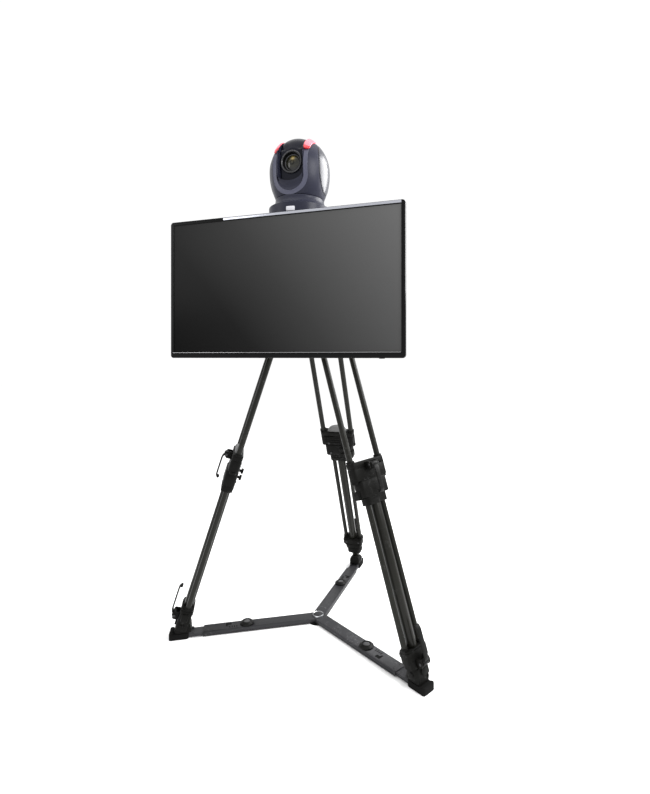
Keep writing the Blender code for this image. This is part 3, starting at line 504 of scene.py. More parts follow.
def lever_shapes(length):
    """A lever along +Z from its barrel on the X axis, standing off outwards (+Y)."""
    stand_off, thickness = 0.011, 0.0048
    path = [(0.002, 0.002), (0.0085, 0.006), (0.0108, 0.014), (stand_off, 0.026),
            (stand_off, length - 0.016), (stand_off - 0.0005, length - 0.01),
            (stand_off - 0.0025, length - 0.005), (stand_off - 0.006, length - 0.002)]
    arm = bmesh.new()
    rows = []
    for index, (y, z) in enumerate(path):
        before, after = path[max(index - 1, 0)], path[min(index + 1, len(path) - 1)]
        along = Vector((0, after[0] - before[0], after[1] - before[1])).normalized()
        side = Vector((0, along.z, -along.y)) * (thickness / 2)
        wide = 0.0085 - 0.0015 * min(1.0, index / 5)
        corners = [Vector((x, y, z)) + sign * side for x,
                   sign in ((-wide, -1), (wide, -1), (wide, 1), (-wide, 1))]
        loop = [arm.verts.new(corner) for corner in corners]
        rows.append([arm.edges.new((loop[i], loop[(i + 1) % 4])) for i in range(4)])
    bridge_rows(arm, rows)
    bmesh.ops.contextual_create(arm, geom=rows[0])
    bmesh.ops.contextual_create(arm, geom=rows[-1])
    bmesh.ops.recalc_face_normals(arm, faces=arm.faces)
    break_edges(arm, 0.0012)
    tip = bar(0.0042, (-0.008, stand_off - 0.006, length - 0.004),
              (0.008, stand_off - 0.006, length - 0.004), shade_edge=0.0012)
    barrel = bar(0.0082, (-0.0115, 0, 0), (0.0115, 0, 0), shade_edge=0.0012)
    return [arm, tip, barrel]


for leg in LEGS:
    for stage, length in (("middle", 0.082), ("lower", 0.096)):
        joint = joints[f"{leg}_{stage}_lever_flip"]
        across, up = Vector(joint["axis"]), leg_place(leg).col[2].to_3d()
        if stage == "middle":
            across, up = -across, -up
        else:
            across = -across
        lever_frame = Matrix((across, up.cross(across), up)).transposed().to_4x4()
        lever_frame.translation = Vector(joint["pos_m"])
        name = f"{leg}_{stage}_lever"
        piece(name + "_arm", lever_shapes(length), nylon, name, (name,), lever_frame)
        pin = [bar(0.004, (side * 0.0182, 0, 0), (side * 0.0202, 0, 0), shade_edge=0.0005) for side in (-1, 1)]
        piece(name + "_pin", pin, screw_black, "stand", place=lever_frame)

# ---- Legs: lower tube and foot -----------------------------------------------------------------
# One thicker tube slides out of each pair of middle tubes.  It carries a cast ankle block and ends in
# a bolted boot with side gussets, on a moulded rubber pad with raised tread blocks.
ARM_FRAMES = {}
for leg, angle in LEGS.items():
    out = Vector((math.cos(math.radians(angle)), math.sin(math.radians(angle)), 0.0))
    ARM_FRAMES[leg] = Matrix((out.cross(Vector((0, 0, 1))), out, Vector((0, 0, 1)))).transposed().to_4x4()

FOOT_Y, BOOT_TOP = 0.44, 0.046
for leg in LEGS:
    place, arm = leg_place(leg), ARM_FRAMES[leg]
    body = leg + "_lower_leg"
    low, high = local_box(leg + "_lower_tube", place)
    piece(leg + "_lower_tube_fine", [bar(high.x, (0, 0, high.z), (0, 0, low.z), sides=48, shade_edge=0.0008)],
          anodised, body, (leg + "_lower_tube",), place)
    ankle_top = local_box(leg + "_lower_clamp", place)[0].z - 0.0015
    ankle = [box((-0.029, -0.02, ankle_top - 0.026), (0.029, 0.02, ankle_top), corner=0.012, shade_edge=0.0022),
             bar(0.0105, (0, 0.0195, ankle_top - 0.012), (0, 0.0245, ankle_top - 0.012), shade_edge=0.0015)]
    for side in (-1, 1):
        ankle.append(bar(0.0085, (side * 0.028, 0, ankle_top - 0.013),
                         (side * 0.0315, 0, ankle_top - 0.013), shade_edge=0.0012))
    piece(leg + "_ankle_block", ankle, casting, body, place=place)

    low, high = local_box(leg + "_foot", arm)
    boot = box((-0.02, FOOT_Y - 0.026, low.z), (0.02, FOOT_Y + 0.026, BOOT_TOP))
    for vertex in boot.verts:
        if vertex.co.z > BOOT_TOP - 0.001:
            vertex.co.x *= 0.9
            vertex.co.y = FOOT_Y + (vertex.co.y - FOOT_Y) * 0.8 - 0.003
    break_edges(boot, 0.003, segments=3)
    shapes = [boot]
    for side in (-1, 1):
        shapes.append(box((side * 0.0185 - 0.0025, FOOT_Y - 0.021, low.z),
                          (side * 0.0185 + 0.0025, FOOT_Y + 0.024, 0.04), corner=0.008, shade_edge=0.001,
                          axis="X"))
        shapes.append(bar(0.0075, (side * 0.019, FOOT_Y, 0.031), (side * 0.0228, FOOT_Y, 0.031),
                          shade_edge=0.001))
    piece(leg + "_boot", shapes, casting, body, (leg + "_foot",), arm)
    bolts = [bar(0.0045, (side * 0.0222, FOOT_Y, 0.031), (side * 0.024, FOOT_Y, 0.031), sides=6,
                 shade_edge=0.0003) for side in (-1, 1)]
    piece(leg + "_boot_bolts", bolts, screw_black, body, place=arm)

    low, high = local_box(leg + "_foot_pad", arm)
    pad = box((low.x, low.y, 0.0), (high.x, high.y - 0.002, 0.018), corner=0.006, shade_edge=0.0016)
    toe = box((low.x, high.y - 0.0125, 0.0), (high.x, high.y, high.z), corner=0.006, shade_edge=0.0016)
    treads = [box((low.x + 0.004, low.y + 0.006 + i * 0.0085, 0.0172),
                  (low.x + 0.01, low.y + 0.01 + i * 0.0085, 0.0187), shade_edge=0.0006) for i in range(4)]
    piece(leg + "_foot_rubber", [pad, toe] + treads, rubber, body, (leg + "_foot_pad",),
          arm)

# ---- Floor spreader ----------------------------------------------------------------------------
# Three folded aluminium channels with a dark grey textured coat, mitred at a round hub.  A slotted bar
# slides in each one, a knob locks it, and four short grooves and a stepped window mark its reach; the
# grooves and window are dark patches of painted shade, not cuts.
channel_coat = grained("channel_coat", (0.023, 0.023, 0.0255), 0.55, metallic=0.2, specular=0.3,
                       grain=700.0, depth=0.0004, patch=20.0, variation=0.3, marks=0.05)
# Near-black finish: the real colour of the cover seams, and painted shade for grooves, slots, vents and
# openings that are not cut.
seam_black_and_hole_shade = grained("seam_black_and_hole_shade", (0.003, 0.003, 0.003), 0.7, specular=0.1, grain=900.0, depth=0.0001)
knob_grey = grained("knob_insert_grey", (0.05, 0.05, 0.052), 0.42, specular=0.35, grain=1200.0,
                    depth=0.0001, variation=0.15)
CHANNEL_TIP, CHANNEL_WALL = 0.0004, 0.0025


def thicken(made, wall):
    """Give a sheet a wall that grows inwards."""
    sheet = made.modifiers.new("wall", "SOLIDIFY")
    sheet.thickness = wall
    sheet.offset = -1.0


def flute(grip, count, depth, power, inner, ceiling):
    """Press shallow flutes into a turned grip, outside a radius and below a height."""
    for vertex in grip.verts:
        x, y, z = vertex.co
        if math.hypot(x, y) > inner and z < ceiling:
            groove = depth * max(0.0, math.cos(count * math.atan2(y, x))) ** power
            vertex.co.x *= 1 - groove
            vertex.co.y *= 1 - groove


for leg in LEGS:
    arm = ARM_FRAMES[leg]
    low, high = local_box(leg + "_spreader_channel", arm)
    half, end = high.x, high.y
    shape = bmesh.new()
    mitre = CHANNEL_TIP + half / math.tan(math.radians(60))
    corners = [shape.verts.new((x, y, high.z)) for x, y in
               ((0, CHANNEL_TIP), (half, mitre), (half, end), (-half, end), (-half, mitre))]
    shape.faces.new(corners)
    walls = bmesh.ops.extrude_edge_only(shape, edges=shape.edges[:])
    bmesh.ops.translate(shape, vec=(0, 0, low.z - high.z),
                        verts=[v for v in walls["geom"] if isinstance(v, bmesh.types.BMVert)])
    open_end = [face for face in shape.faces
                if face.calc_center_median().y > end - 0.001 and abs(face.normal.y) > 0.9]
    bmesh.ops.delete(shape, geom=open_end, context="FACES")
    bmesh.ops.recalc_face_normals(shape, faces=shape.faces)
    if max(shape.faces, key=lambda face: face.calc_area()).normal.z < 0:
        bmesh.ops.reverse_faces(shape, faces=shape.faces)
    long_edges = [shade_edge for shade_edge in shape.edges if len(shade_edge.link_faces) == 2
                  and all(abs(v.co.z - high.z) < 1e-6 and abs(abs(v.co.x) - half) < 1e-6
                          for v in shade_edge.verts)]
    bmesh.ops.bevel(shape, geom=long_edges, offset=0.0022, segments=4, profile=0.5, affect="EDGES",
                    material=-1)
    channel = piece(leg + "_channel_fine", [shape], channel_coat, "spreader",
                    (leg + "_spreader_channel",), arm)
    thicken(channel, CHANNEL_WALL)

    knob_y = (arm.inverted() @ Vector(joints[leg + "_spreader_knob_turn"]["pos_m"])).y
    top = high.z
    # The grooves and window are dark patches of painted shade, not cut into the channel.
    groove_shade = []
    for i in range(4):
        y = knob_y + 0.031 + i * 0.0075
        groove_shade.append(box((-0.013, y, top - 0.0005), (-0.004, y + 0.003, top + 0.00025)))
    groove_shade.append(box((0.004, knob_y + 0.05, top - 0.0005), (0.015, knob_y + 0.068, top + 0.00025),
                      corner=0.0015))
    groove_shade.append(box((-0.004, knob_y + 0.062, top - 0.0005), (0.006, knob_y + 0.068, top + 0.00025)))
    piece(leg + "_channel_groove_shade", groove_shade, seam_black_and_hole_shade, "spreader", place=arm)
    rails = [box((side * (half - 0.0045) - 0.0006, 0.06, top - 0.0005),
                 (side * (half - 0.0045) + 0.0006, end - 0.002, top + 0.0003), shade_edge=0.0001)
             for side in (-1, 1)]
    piece(leg + "_channel_rails", rails, channel_coat, "spreader", place=arm)
    rivets = [lathe([(0, 0.001), (0.0018, 0.0008), (0.0026, 0.0), (0.0026, -0.0006), (0, -0.0006)],
                    (x, end - 0.014, top), steps=20) for x in (-0.012, 0.012)]
    piece(leg + "_channel_rivets", rivets, screw_black, "spreader", place=arm)

    turn = Matrix.Translation((0, knob_y, top))
    knob_top = local_box(leg + "_spreader_knob", arm)[1].z - top
    grip = lathe([(0, knob_top - 0.0024), (0.0105, knob_top - 0.0024), (0.0112, knob_top - 0.0006),
                  (0.0125, knob_top), (0.0142, knob_top - 0.0002), (0.016, knob_top - 0.0022),
                  (0.0205, knob_top - 0.0044), (0.0222, knob_top - 0.0058), (0.0225, knob_top - 0.0072),
                  (0.0222, 0.0004), (0, 0.0004)], steps=144)
    flute(grip, 12, 0.035, 2, 0.019, knob_top)
    stud = bar(0.0039, (0, 0, 0.0006), (0, 0, -0.012), sides=24)
    piece(leg + "_lock_knob", [grip, stud], nylon, leg + "_spreader_knob",
          (leg + "_spreader_knob",), arm @ turn)
    insert = lathe([(0, knob_top - 0.0009), (0.006, knob_top - 0.0009), (0.0085, knob_top - 0.0012),
                    (0.0102, knob_top - 0.0022), (0.0102, knob_top - 0.003), (0, knob_top - 0.003)])
    pointer = box((-0.001, 0.002, knob_top - 0.0012), (0.001, 0.008, knob_top - 0.0006), shade_edge=0.0002)
    piece(leg + "_knob_insert", [insert, pointer], knob_grey, leg + "_spreader_knob",
          place=arm @ turn)

# ---- Spreader hub ------------------------------------------------------------------------------
# A round base plate under the three mitred channels, and a domed cap in a turned silver ring over the
# rivet that holds them together.
hub_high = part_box("spreader_hub")[1]
cap_low, cap_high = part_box("hub_cap")
base_radius, cap_radius = hub_high[0], cap_high[0]
piece("hub_base",
      [lathe([(0, hub_high[2]), (base_radius - 0.003, hub_high[2]),
              (base_radius - 0.0008, hub_high[2] - 0.0006), (base_radius, hub_high[2] - 0.0016),
              (base_radius, 0.0), (0, 0.0)])], rubber, "spreader", ("spreader_hub",))
base, top = cap_low[2], cap_high[2]
piece("hub_ring",
      [lathe([(0.0164, base + 0.0036), (0.0171, base + 0.0044), (0.018, base + 0.004),
              (cap_radius, base + 0.002), (cap_radius, base), (0.0164, base), (0.0164, base + 0.0036)])],
      steel, "spreader", ("hub_cap",))
piece("hub_face",
      [lathe([(0, top - 0.002), (0.006, top - 0.0023), (0.012, top - 0.0035), (0.0163, base + 0.0032),
              (0.0163, base + 0.0002), (0, base + 0.0002)])], channel_coat, "spreader")

# ---- Crown, bowl and levelling ball ------------------------------------------------------------
# Cast crown with a 75 mm bowl and three hinge lugs, a zinc half ball that levels the mast, and the
# fluted knob below that pulls the ball down.  The crown leans forward with the legs.
crown_centre = sum((leg_place(leg).translation / 3 for leg in LEGS), Vector((0, 0, 0)))
hinges = {leg: leg_place(leg).translation - crown_centre for leg in LEGS}
crown_axis = (hinges["left"].cross(hinges["right"])).normalized()
crown_axis *= math.copysign(1.0, crown_axis.z)
side_axis = (Vector((1, 0, 0)) - crown_axis * crown_axis.x).normalized()
crown_frame = Matrix((side_axis, crown_axis.cross(side_axis), crown_axis)).transposed().to_4x4()
crown_frame.translation = crown_centre

RIM, BOWL_RADIUS = 0.05, 0.0375
seat = [(BOWL_RADIUS * math.cos(math.radians(a)), RIM + BOWL_RADIUS * math.sin(math.radians(a)))
        for a in range(-52, 1, 4)]
ring = lathe([(seat[0][0], -0.012)] + seat + [(0.0545, RIM), (0.056, RIM - 0.0015), (0.056, 0.031),
              (0.054, 0.027), (0.05, 0.0215), (0.04, 0.0195), (0.03, 0.019), (0.03, -0.0105),
              (0.0285, -0.012), (seat[0][0], -0.012)], steps=96)
shapes = [ring]
for leg, hinge in hinges.items():
    reach = hinge.length
    local = crown_frame.inverted().to_3x3() @ hinge
    turn = Matrix.Rotation(math.atan2(local.y, local.x), 4, "Z")
    lug = box((0.024, -0.019, -0.0085), (reach, 0.019, 0.0085), shade_edge=0.0015)
    nose = bar(0.01, (reach, -0.02, 0), (reach, 0.02, 0), shade_edge=0.0012)
    web = box((0.027, -0.003, 0.0075), (0.044, 0.003, 0.02), shade_edge=0.001)
    for shape in (lug, nose, web):
        shape.transform(turn)
        shapes.append(shape)
piece("crown_casting", shapes, casting, "stand", ("crown",), crown_frame)

ball_low, ball_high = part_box("bowl_ball")
mast_x, mast_y = (ball_low[0] + ball_high[0]) / 2, (ball_low[1] + ball_high[1]) / 2
ball_z = ball_high[2] - 0.009
ball_radius = BOWL_RADIUS - 0.0003
under = [(ball_radius * math.cos(math.radians(a)), ball_z + ball_radius * math.sin(math.radians(a)))
         for a in range(0, -79, -6)]
half_ball = lathe([(0, ball_high[2]), (0.0415, ball_high[2]), (0.043, ball_high[2] - 0.0015),
                   (0.043, ball_z + 0.0045), (0.042, ball_z + 0.0036), (ball_radius, ball_z + 0.0036)]
                  + under + [(0.006, under[-1][1]), (0.006, ball_low[2]), (0, ball_low[2])],
                  (mast_x, mast_y, 0), steps=96)
piece("half_ball", [half_ball], steel, "stand", ("bowl_ball",))

knob_low, knob_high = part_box("tie_down_knob")
knob_z = knob_high[2]
grip = lathe([(0.0063, knob_z), (0.0235, knob_z), (0.0245, knob_z - 0.001), (0.0245, knob_z - 0.0055),
              (0.0225, knob_z - 0.0075), (0.0145, knob_z - 0.012), (0.015, knob_z - 0.016),
              (0.019, knob_z - 0.02), (0.021, knob_z - 0.03), (0.0212, knob_z - 0.048),
              (0.02, knob_z - 0.054), (0.017, knob_low[2]), (0.0063, knob_low[2]), (0.0063, knob_z)],
             steps=96)
flute(grip, 8, 0.1, 1, 0.0172, knob_z - 0.018)
grip.transform(Matrix.Translation((mast_x, mast_y, 0)))
piece("tie_down_grip", [grip], nylon, "tie_down_knob", ("tie_down_knob",))

# ---- Mast, camera shelf and monitor bracket ----------------------------------------------------
# Powder-coated steel: a post with a bolted foot, a shelf plate with rounded corners and a rib, and a
# split collar whose arm and spine carry the monitor by its square mounting plate.
powder = grained("powder_coat", (0.0095, 0.0095, 0.01), 0.5, metallic=0.0, specular=0.28, grain=1300.0,
                 depth=0.00025, variation=0.25, marks=0.03)
mast_low, mast_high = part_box("mast")
mast_radius = 0.02
post = lathe([(0, mast_high[2]), (mast_radius - 0.0015, mast_high[2]),
              (mast_radius, mast_high[2] - 0.0015), (mast_radius, mast_low[2] + 0.015),
              (0.0215, mast_low[2] + 0.0122), (0.034, mast_low[2] + 0.0088), (0.036, mast_low[2] + 0.007),
              (0.036, mast_low[2]), (0, mast_low[2])], (mast_x, mast_y, 0), steps=96)
piece("mast_post", [post], powder, "stand", ("mast",))
bolts = []
for step in range(4):
    around = math.radians(45 + 90 * step)
    at = Vector((mast_x + 0.029 * math.cos(around), mast_y + 0.029 * math.sin(around),
                 mast_low[2] + 0.0085))
    bolts += [bar(0.0042, at, at + Vector((0, 0, 0.0042)), shade_edge=0.0005),
              bar(0.0022, at + Vector((0, 0, 0.004)), at + Vector((0, 0, 0.0046)), sides=6)]
piece("mast_bolts", bolts, screw_black, "stand")

shelf_low, shelf_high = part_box("camera_shelf")
plate_low = shelf_high[2] - 0.006
shelf = box((shelf_low[0], shelf_low[1], plate_low), (shelf_high[0], shelf_high[1], shelf_high[2]),
            corner=0.02, shade_edge=0.001)
rib = box((-0.004, shelf_low[1] + 0.023, shelf_low[2]),
          (0.004, mast_y - mast_radius - 0.004, plate_low + 0.001), shade_edge=0.001)
folds = [box((x - 0.0025, shelf_low[1] + 0.024, plate_low - 0.01),
             (x + 0.0025, shelf_high[1] - 0.024, plate_low + 0.001), shade_edge=0.001) for x in (-0.07, 0.07)]
piece("shelf_plate", [shelf, rib] + folds, powder, "stand", ("camera_shelf",))
shelf_screws = []
for x in (-0.045, 0.045):
    for y in (shelf_low[1] + 0.045, shelf_high[1] - 0.045):
        at = Vector((x, y, plate_low))
        shelf_screws.append(bar(0.005, at, at - Vector((0, 0, 0.0038)), shade_edge=0.0008))
piece("shelf_screws", shelf_screws, screw_black, "stand")

bracket_low, bracket_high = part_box("monitor_bracket")
vesa_low, vesa_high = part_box("vesa_plate")
vesa_z = (vesa_low[2] + vesa_high[2]) / 2
ARM_HEIGHT, SPINE_Y = 1.248, -0.23
collar = lathe([(mast_radius + 0.0004, 0.018), (0.0305, 0.018), (0.032, 0.0165), (0.032, -0.0165),
                (0.0305, -0.018), (mast_radius + 0.0004, -0.018), (mast_radius + 0.0004, 0.018)],
               (mast_x, mast_y, ARM_HEIGHT))
ears = [box((mast_x + side * 0.0075 - 0.004, mast_y + 0.026, ARM_HEIGHT - 0.015),
            (mast_x + side * 0.0075 + 0.004, mast_y + 0.046, ARM_HEIGHT + 0.015), corner=0.005,
            shade_edge=0.0008, axis="X") for side in (-1, 1)]
arm_box = box((-0.018, SPINE_Y, ARM_HEIGHT - 0.015), (0.018, mast_y - 0.028, ARM_HEIGHT + 0.015),
              corner=0.004, shade_edge=0.001, axis="Y")
spine = box((-0.03, SPINE_Y - 0.004, bracket_low[2]), (0.03, SPINE_Y + 0.004, bracket_high[2]),
            corner=0.006, shade_edge=0.001, axis="Y")
spacer = box((-0.025, bracket_low[1], vesa_z - 0.025), (0.025, SPINE_Y, vesa_z + 0.025), corner=0.004,
             shade_edge=0.0008, axis="Y")
gussets = [box((x - 0.002, SPINE_Y + 0.003, ARM_HEIGHT - 0.042),
               (x + 0.002, SPINE_Y + 0.042, ARM_HEIGHT - 0.012), shade_edge=0.0006) for x in (-0.013, 0.013)]
piece("monitor_arm", [collar, arm_box, spine, spacer] + ears + gussets, powder, "stand",
      ("monitor_bracket",))
clamp_bolt = [bar(0.004, (mast_x - 0.019, mast_y + 0.0375, ARM_HEIGHT),
                  (mast_x + 0.019, mast_y + 0.0375, ARM_HEIGHT)),
              bar(0.0072, (mast_x + 0.0115, mast_y + 0.0375, ARM_HEIGHT),
                  (mast_x + 0.017, mast_y + 0.0375, ARM_HEIGHT), sides=6, shade_edge=0.0006)]
clamp_bolt += [bar(0.0046, (x, SPINE_Y + 0.0035, z), (x, SPINE_Y + 0.0072, z), shade_edge=0.0006)
               for x in (-0.02, 0.02) for z in (vesa_z - 0.016, vesa_z + 0.016)]
piece("bracket_bolts", clamp_bolt, screw_black, "stand")



def refinish(node, finish):
    """Give a finish to a CAD node that is shown as it is."""
    materials = frame["nodes"][node].data.materials
    materials.clear()
    materials.append(finish)


refinish("vesa_plate", powder)
screws = []
for x in (-0.05, 0.05):
    for z in (vesa_z - 0.05, vesa_z + 0.05):
        screws.append(bar(0.0042, (x, vesa_high[1] - 0.0002, z), (x, vesa_high[1] + 0.0026, z),
                          shade_edge=0.0008))
        screws.append(bar(0.0018, (x, vesa_high[1] + 0.0024, z), (x, vesa_high[1] + 0.0028, z), sides=6))
piece("mounting_screws", screws, screw_black, "stand")

# ---- Monitor -----------------------------------------------------------------------------------
# A 32-inch class display: a glossy black moulded bezel with rounded corners and a bright metal strip
# near its top edge that is a painted highlight, a matt panel whose colour is a painted reflection, a
# flat rear panel, and a housing over the electronics with vents and ports as dark patches of painted
# shade.
bezel_black = grained("bezel_black", (0.004, 0.004, 0.0042), 0.24, specular=0.07, grain=2600.0,
                      depth=0.00003, variation=0.15)
cover_black = grained("rear_cover_black", (0.007, 0.007, 0.0074), 0.5, specular=0.14, grain=1000.0,
                      depth=0.0003, variation=0.2, marks=0.01)
# Metal for the painted highlight strip near the top of the bezel.
highlight_metal = grained("painted_highlight_strip", (0.46, 0.47, 0.52), 0.22, metallic=1.0, grain=3000.0, depth=0.00001,
                   variation=0.04)
dark_trim = grained("dark_reveal", (0.42, 0.42, 0.43), 0.3, metallic=1.0, grain=3000.0, depth=0.00001,
                    variation=0.3)
low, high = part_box("monitor_frame")
panel_low, panel_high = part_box("screen_panel")
left, right = low[0], high[0]
bottom, top = low[2], high[2]
front, rear = low[1], high[1]


def sides_of(low, high):
    """Left, right, bottom and top of a box."""
    return low[0], high[0], low[2], high[2]


def rounded_loop(shape, sides, inset, y, corner, steps=8):
    """A closed loop of edges round a rectangle set in by inset, with rounded corners, facing front."""
    x_low, x_high = sides[0] + inset, sides[1] - inset
    z_low, z_high = sides[2] + inset, sides[3] - inset
    points = []
    for x, z, start in ((x_high - corner, z_high - corner, 0), (x_low + corner, z_high - corner, 90),
                        (x_low + corner, z_low + corner, 180), (x_high - corner, z_low + corner, 270)):
        for step in range(steps + 1):
            around = math.radians(start + 90 * step / steps)
            points.append(shape.verts.new((x + corner * math.cos(around), y,
                                           z + corner * math.sin(around))))
    return [shape.edges.new((points[i], points[(i + 1) % len(points)])) for i in range(len(points))]


EDGE = 0.0018
top_bezel = top - panel_high[2]
opening = (panel_low[0] + 0.0002, panel_high[0] - 0.0002, panel_low[2] + 0.0002, panel_high[2] - 0.0002)
shape = bmesh.new()
outline = sides_of(low, high)
loops = [rounded_loop(shape, outline, EDGE, front, 0.0072),
         rounded_loop(shape, outline, EDGE * 0.3, front + EDGE * 0.3, 0.0085),
         rounded_loop(shape, outline, 0.0, front + EDGE, 0.009),
         rounded_loop(shape, outline, 0.0, rear, 0.009),
         rounded_loop(shape, opening, 0.0, rear, 0.0006),
         rounded_loop(shape, opening, 0.0, front + 0.0016, 0.0006),
         rounded_loop(shape, opening, -0.001, front, 0.0012)]
bridge_rows(shape, loops + loops[:1])
bmesh.ops.recalc_face_normals(shape, faces=shape.faces)
piece("bezel", [shape], bezel_black, "stand", ("monitor_frame",))

# A bright metal strip near the top of the bezel's front: a painted highlight that stands in for the glossy
# bezel's reflection.
highlight_start = left + 0.185
highlight_strip = box((highlight_start, front - 0.0008, top - top_bezel + 0.0022),
           (right - 0.0105, front + 0.002, top - 0.0016), shade_edge=0.0006)
piece("top_painted_highlight", [highlight_strip], highlight_metal, "stand")
reveal = box((left + 0.008, front - 0.0004, panel_low[2] - 0.0016),
             (right - 0.012, front + 0.001, panel_low[2] - 0.0006), shade_edge=0.0002)
piece("screen_reveal", [reveal], dark_trim, "stand")



def tone_ramp(tree, stops):
    """A colour ramp from stops (position, colour), the first at 0 and the last at 1."""
    ramp = tree.nodes.new("ShaderNodeValToRGB")
    for position, colour in stops:
        if position == 0.0:
            stop = ramp.color_ramp.elements[0]
        elif position == 1.0:
            stop = ramp.color_ramp.elements[-1]
        else:
            stop = ramp.color_ramp.elements.new(position)
        stop.color = (*colour, 1.0)
    return ramp


# The panel's base colour is a painted reflection: a ramp from near black at the lower left to grey at the
# upper right, by position across and up the screen.
display_reflection_finish, tree, shader = plain_material("display_painted_reflection", (0.03, 0.03, 0.03), 0.32, specular=0.03)
where = tree.nodes.new("ShaderNodeTexCoord")
split_axes = tree.nodes.new("ShaderNodeSeparateXYZ")
across = tree.nodes.new("ShaderNodeMapRange")
upward = tree.nodes.new("ShaderNodeMapRange")
for node, start, end, share in ((across, left, right, 0.68), (upward, bottom, top, 0.32)):
    node.inputs["From Min"].default_value = start
    node.inputs["From Max"].default_value = end
    node.inputs["To Max"].default_value = share
reflection_share = tree.nodes.new("ShaderNodeMath")
painted_reflection_tones = tone_ramp(tree, [(position, (tone, tone, tone)) for position, tone in
                         ((0.0, 0.0015), (0.28, 0.009), (0.5, 0.029), (0.72, 0.056), (1.0, 0.09))])
link_all(tree,
         (where.outputs["Object"], split_axes.inputs["Vector"]),
         (split_axes.outputs["X"], across.inputs["Value"]),
         (split_axes.outputs["Z"], upward.inputs["Value"]),
         (across.outputs["Result"], reflection_share.inputs[0]),
         (upward.outputs["Result"], reflection_share.inputs[1]),
         (reflection_share.outputs["Value"], painted_reflection_tones.inputs["Fac"]),
         (painted_reflection_tones.outputs["Color"], shader.inputs["Base Color"]))
surface = tree.nodes.new("ShaderNodeGroup")
surface.node_tree = surface_grain
surface.inputs["Grain Scale"].default_value = 2400.0
add_bump(tree, shader, surface.outputs["Height"], 0.3, 0.00003)
glass = box(panel_low, panel_high, shade_edge=0.0003)
piece("display", [glass], display_reflection_finish, "stand", ("screen_panel",))

low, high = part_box("rear_panel")
shape = bmesh.new()
loops = [rounded_loop(shape, sides_of(low, high), inset, y, corner) for inset, y, corner in
         ((0.0, low[1], 0.008), (0.0, high[1] - 0.003, 0.008), (0.001, high[1] - 0.0009, 0.0075),
          (0.0035, high[1], 0.007))]
bridge_rows(shape, loops)
for loop in (loops[0], loops[-1]):
    bmesh.ops.contextual_create(shape, geom=loop)
bmesh.ops.recalc_face_normals(shape, faces=shape.faces)
seams = [box((x - 0.0006, high[1] - 0.0003, low[2] + 0.01), (x + 0.0006, high[1] + 0.0004, high[2] - 0.01))
         for x in (-0.3, 0.3)]
piece("rear_panel_shell", [shape] + seams, cover_black, "stand", ("rear_panel",))
rear_screws = [bar(0.0034, (x, high[1] - 0.0004, z), (x, high[1] + 0.0009, z), shade_edge=0.0003)
               for x in (-0.335, -0.12, 0.12, 0.335) for z in (low[2] + 0.016, high[2] - 0.016)]
piece("rear_panel_screws", rear_screws, screw_black, "stand")

low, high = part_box("rear_housing")
inlet_low, inlet_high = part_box("power_inlet")
TAPER, WALL = 0.035, 0.003
shape = bmesh.new()
loops = [rounded_loop(shape, sides_of(low, high), TAPER * share, y, corner) for share, y, corner in
         ((0.0, low[1], 0.022), (0.8, high[1] - 0.0045, 0.02), (0.93, high[1] - 0.0012, 0.019),
          (1.06, high[1], 0.017))]
hole = rounded_loop(shape, sides_of(inlet_low, inlet_high), -0.0003, high[1], 0.0006)
bridge_rows(shape, loops)
bmesh.ops.triangle_fill(shape, use_beauty=True, use_dissolve=False, edges=loops[-1] + hole,
                        normal=(0, 1, 0))
bmesh.ops.recalc_face_normals(shape, faces=shape.faces)
housing = piece("housing_shell", [shape], cover_black, "stand", ("rear_housing",))
if housing.data.polygons[0].normal.y < -0.9:
    housing.data.flip_normals()
thicken(housing, WALL)
# Vent slots are dark patches of painted shade on the uncut housing, with raised ribs between them.
ribs, vent_shade_slots = [], []
for row, z in ((0, high[2] - TAPER - 0.03), (1, low[2] + TAPER + 0.03)):
    for step in range(26):
        x = -0.1625 + 0.013 * step
        if row == 1 and abs(x - (inlet_low[0] + inlet_high[0]) / 2) < 0.034:
            continue
        vent_shade_slots.append(box((x - 0.0018, high[1] - 0.0006, z - 0.012),
                         (x + 0.0018, high[1] + 0.0002, z + 0.012), corner=0.0017, axis="Y"))
        ribs.append(box((x + 0.004, high[1] - 0.0006, z - 0.013), (x + 0.0058, high[1] + 0.0012, z + 0.013),
                        shade_edge=0.0004))
piece("vent_slot_shade", vent_shade_slots, seam_black_and_hole_shade, "stand")
piece("vent_ribs", ribs, cover_black, "stand")
# Port openings are dark patches of painted shade.
port_shade = []
for x, width in ((-0.17, 0.016), (-0.145, 0.016), (-0.12, 0.013), (-0.098, 0.01)):
    port_shade.append(box((x - width / 2, high[1] - 0.0006, vesa_z - 0.07), (x + width / 2, high[1] + 0.0003,
                     vesa_z - 0.064), corner=0.0012, axis="Y"))
piece("port_opening_shade", port_shade, seam_black_and_hole_shade, "stand")
surrounds = [box((-0.184, high[1] - 0.0006, vesa_z - 0.074), (-0.086, high[1] + 0.00015, vesa_z - 0.06),
                 corner=0.002, axis="Y")]
piece("port_plate", surrounds, powder, "stand")
pins = [bar(0.0012, (inlet_low[0] + 0.015 + x, inlet_low[1] + 0.004, inlet_low[2] + 0.011 + z),
            (inlet_low[0] + 0.015 + x, inlet_high[1] - 0.002, inlet_low[2] + 0.011 + z), sides=16,
            shade_edge=0.0003) for x, z in ((-0.007, 0.0015), (0.0, -0.003), (0.007, 0.0015))]
piece("inlet_pins", pins, steel, "stand")
for node, finish in (("power_inlet", nylon), ("power_button", bezel_black), ("tilt_shaft", steel)):
    refinish(node, finish)
board_green = grained("solder_mask", (0.015, 0.08, 0.035), 0.4, specular=0.5, grain=1500.0, depth=0.0001,
                      patch=60.0, variation=0.4)
refinish("main_board", board_green)
for leg in LEGS:
    refinish(leg + "_spreader_slider", channel_coat)

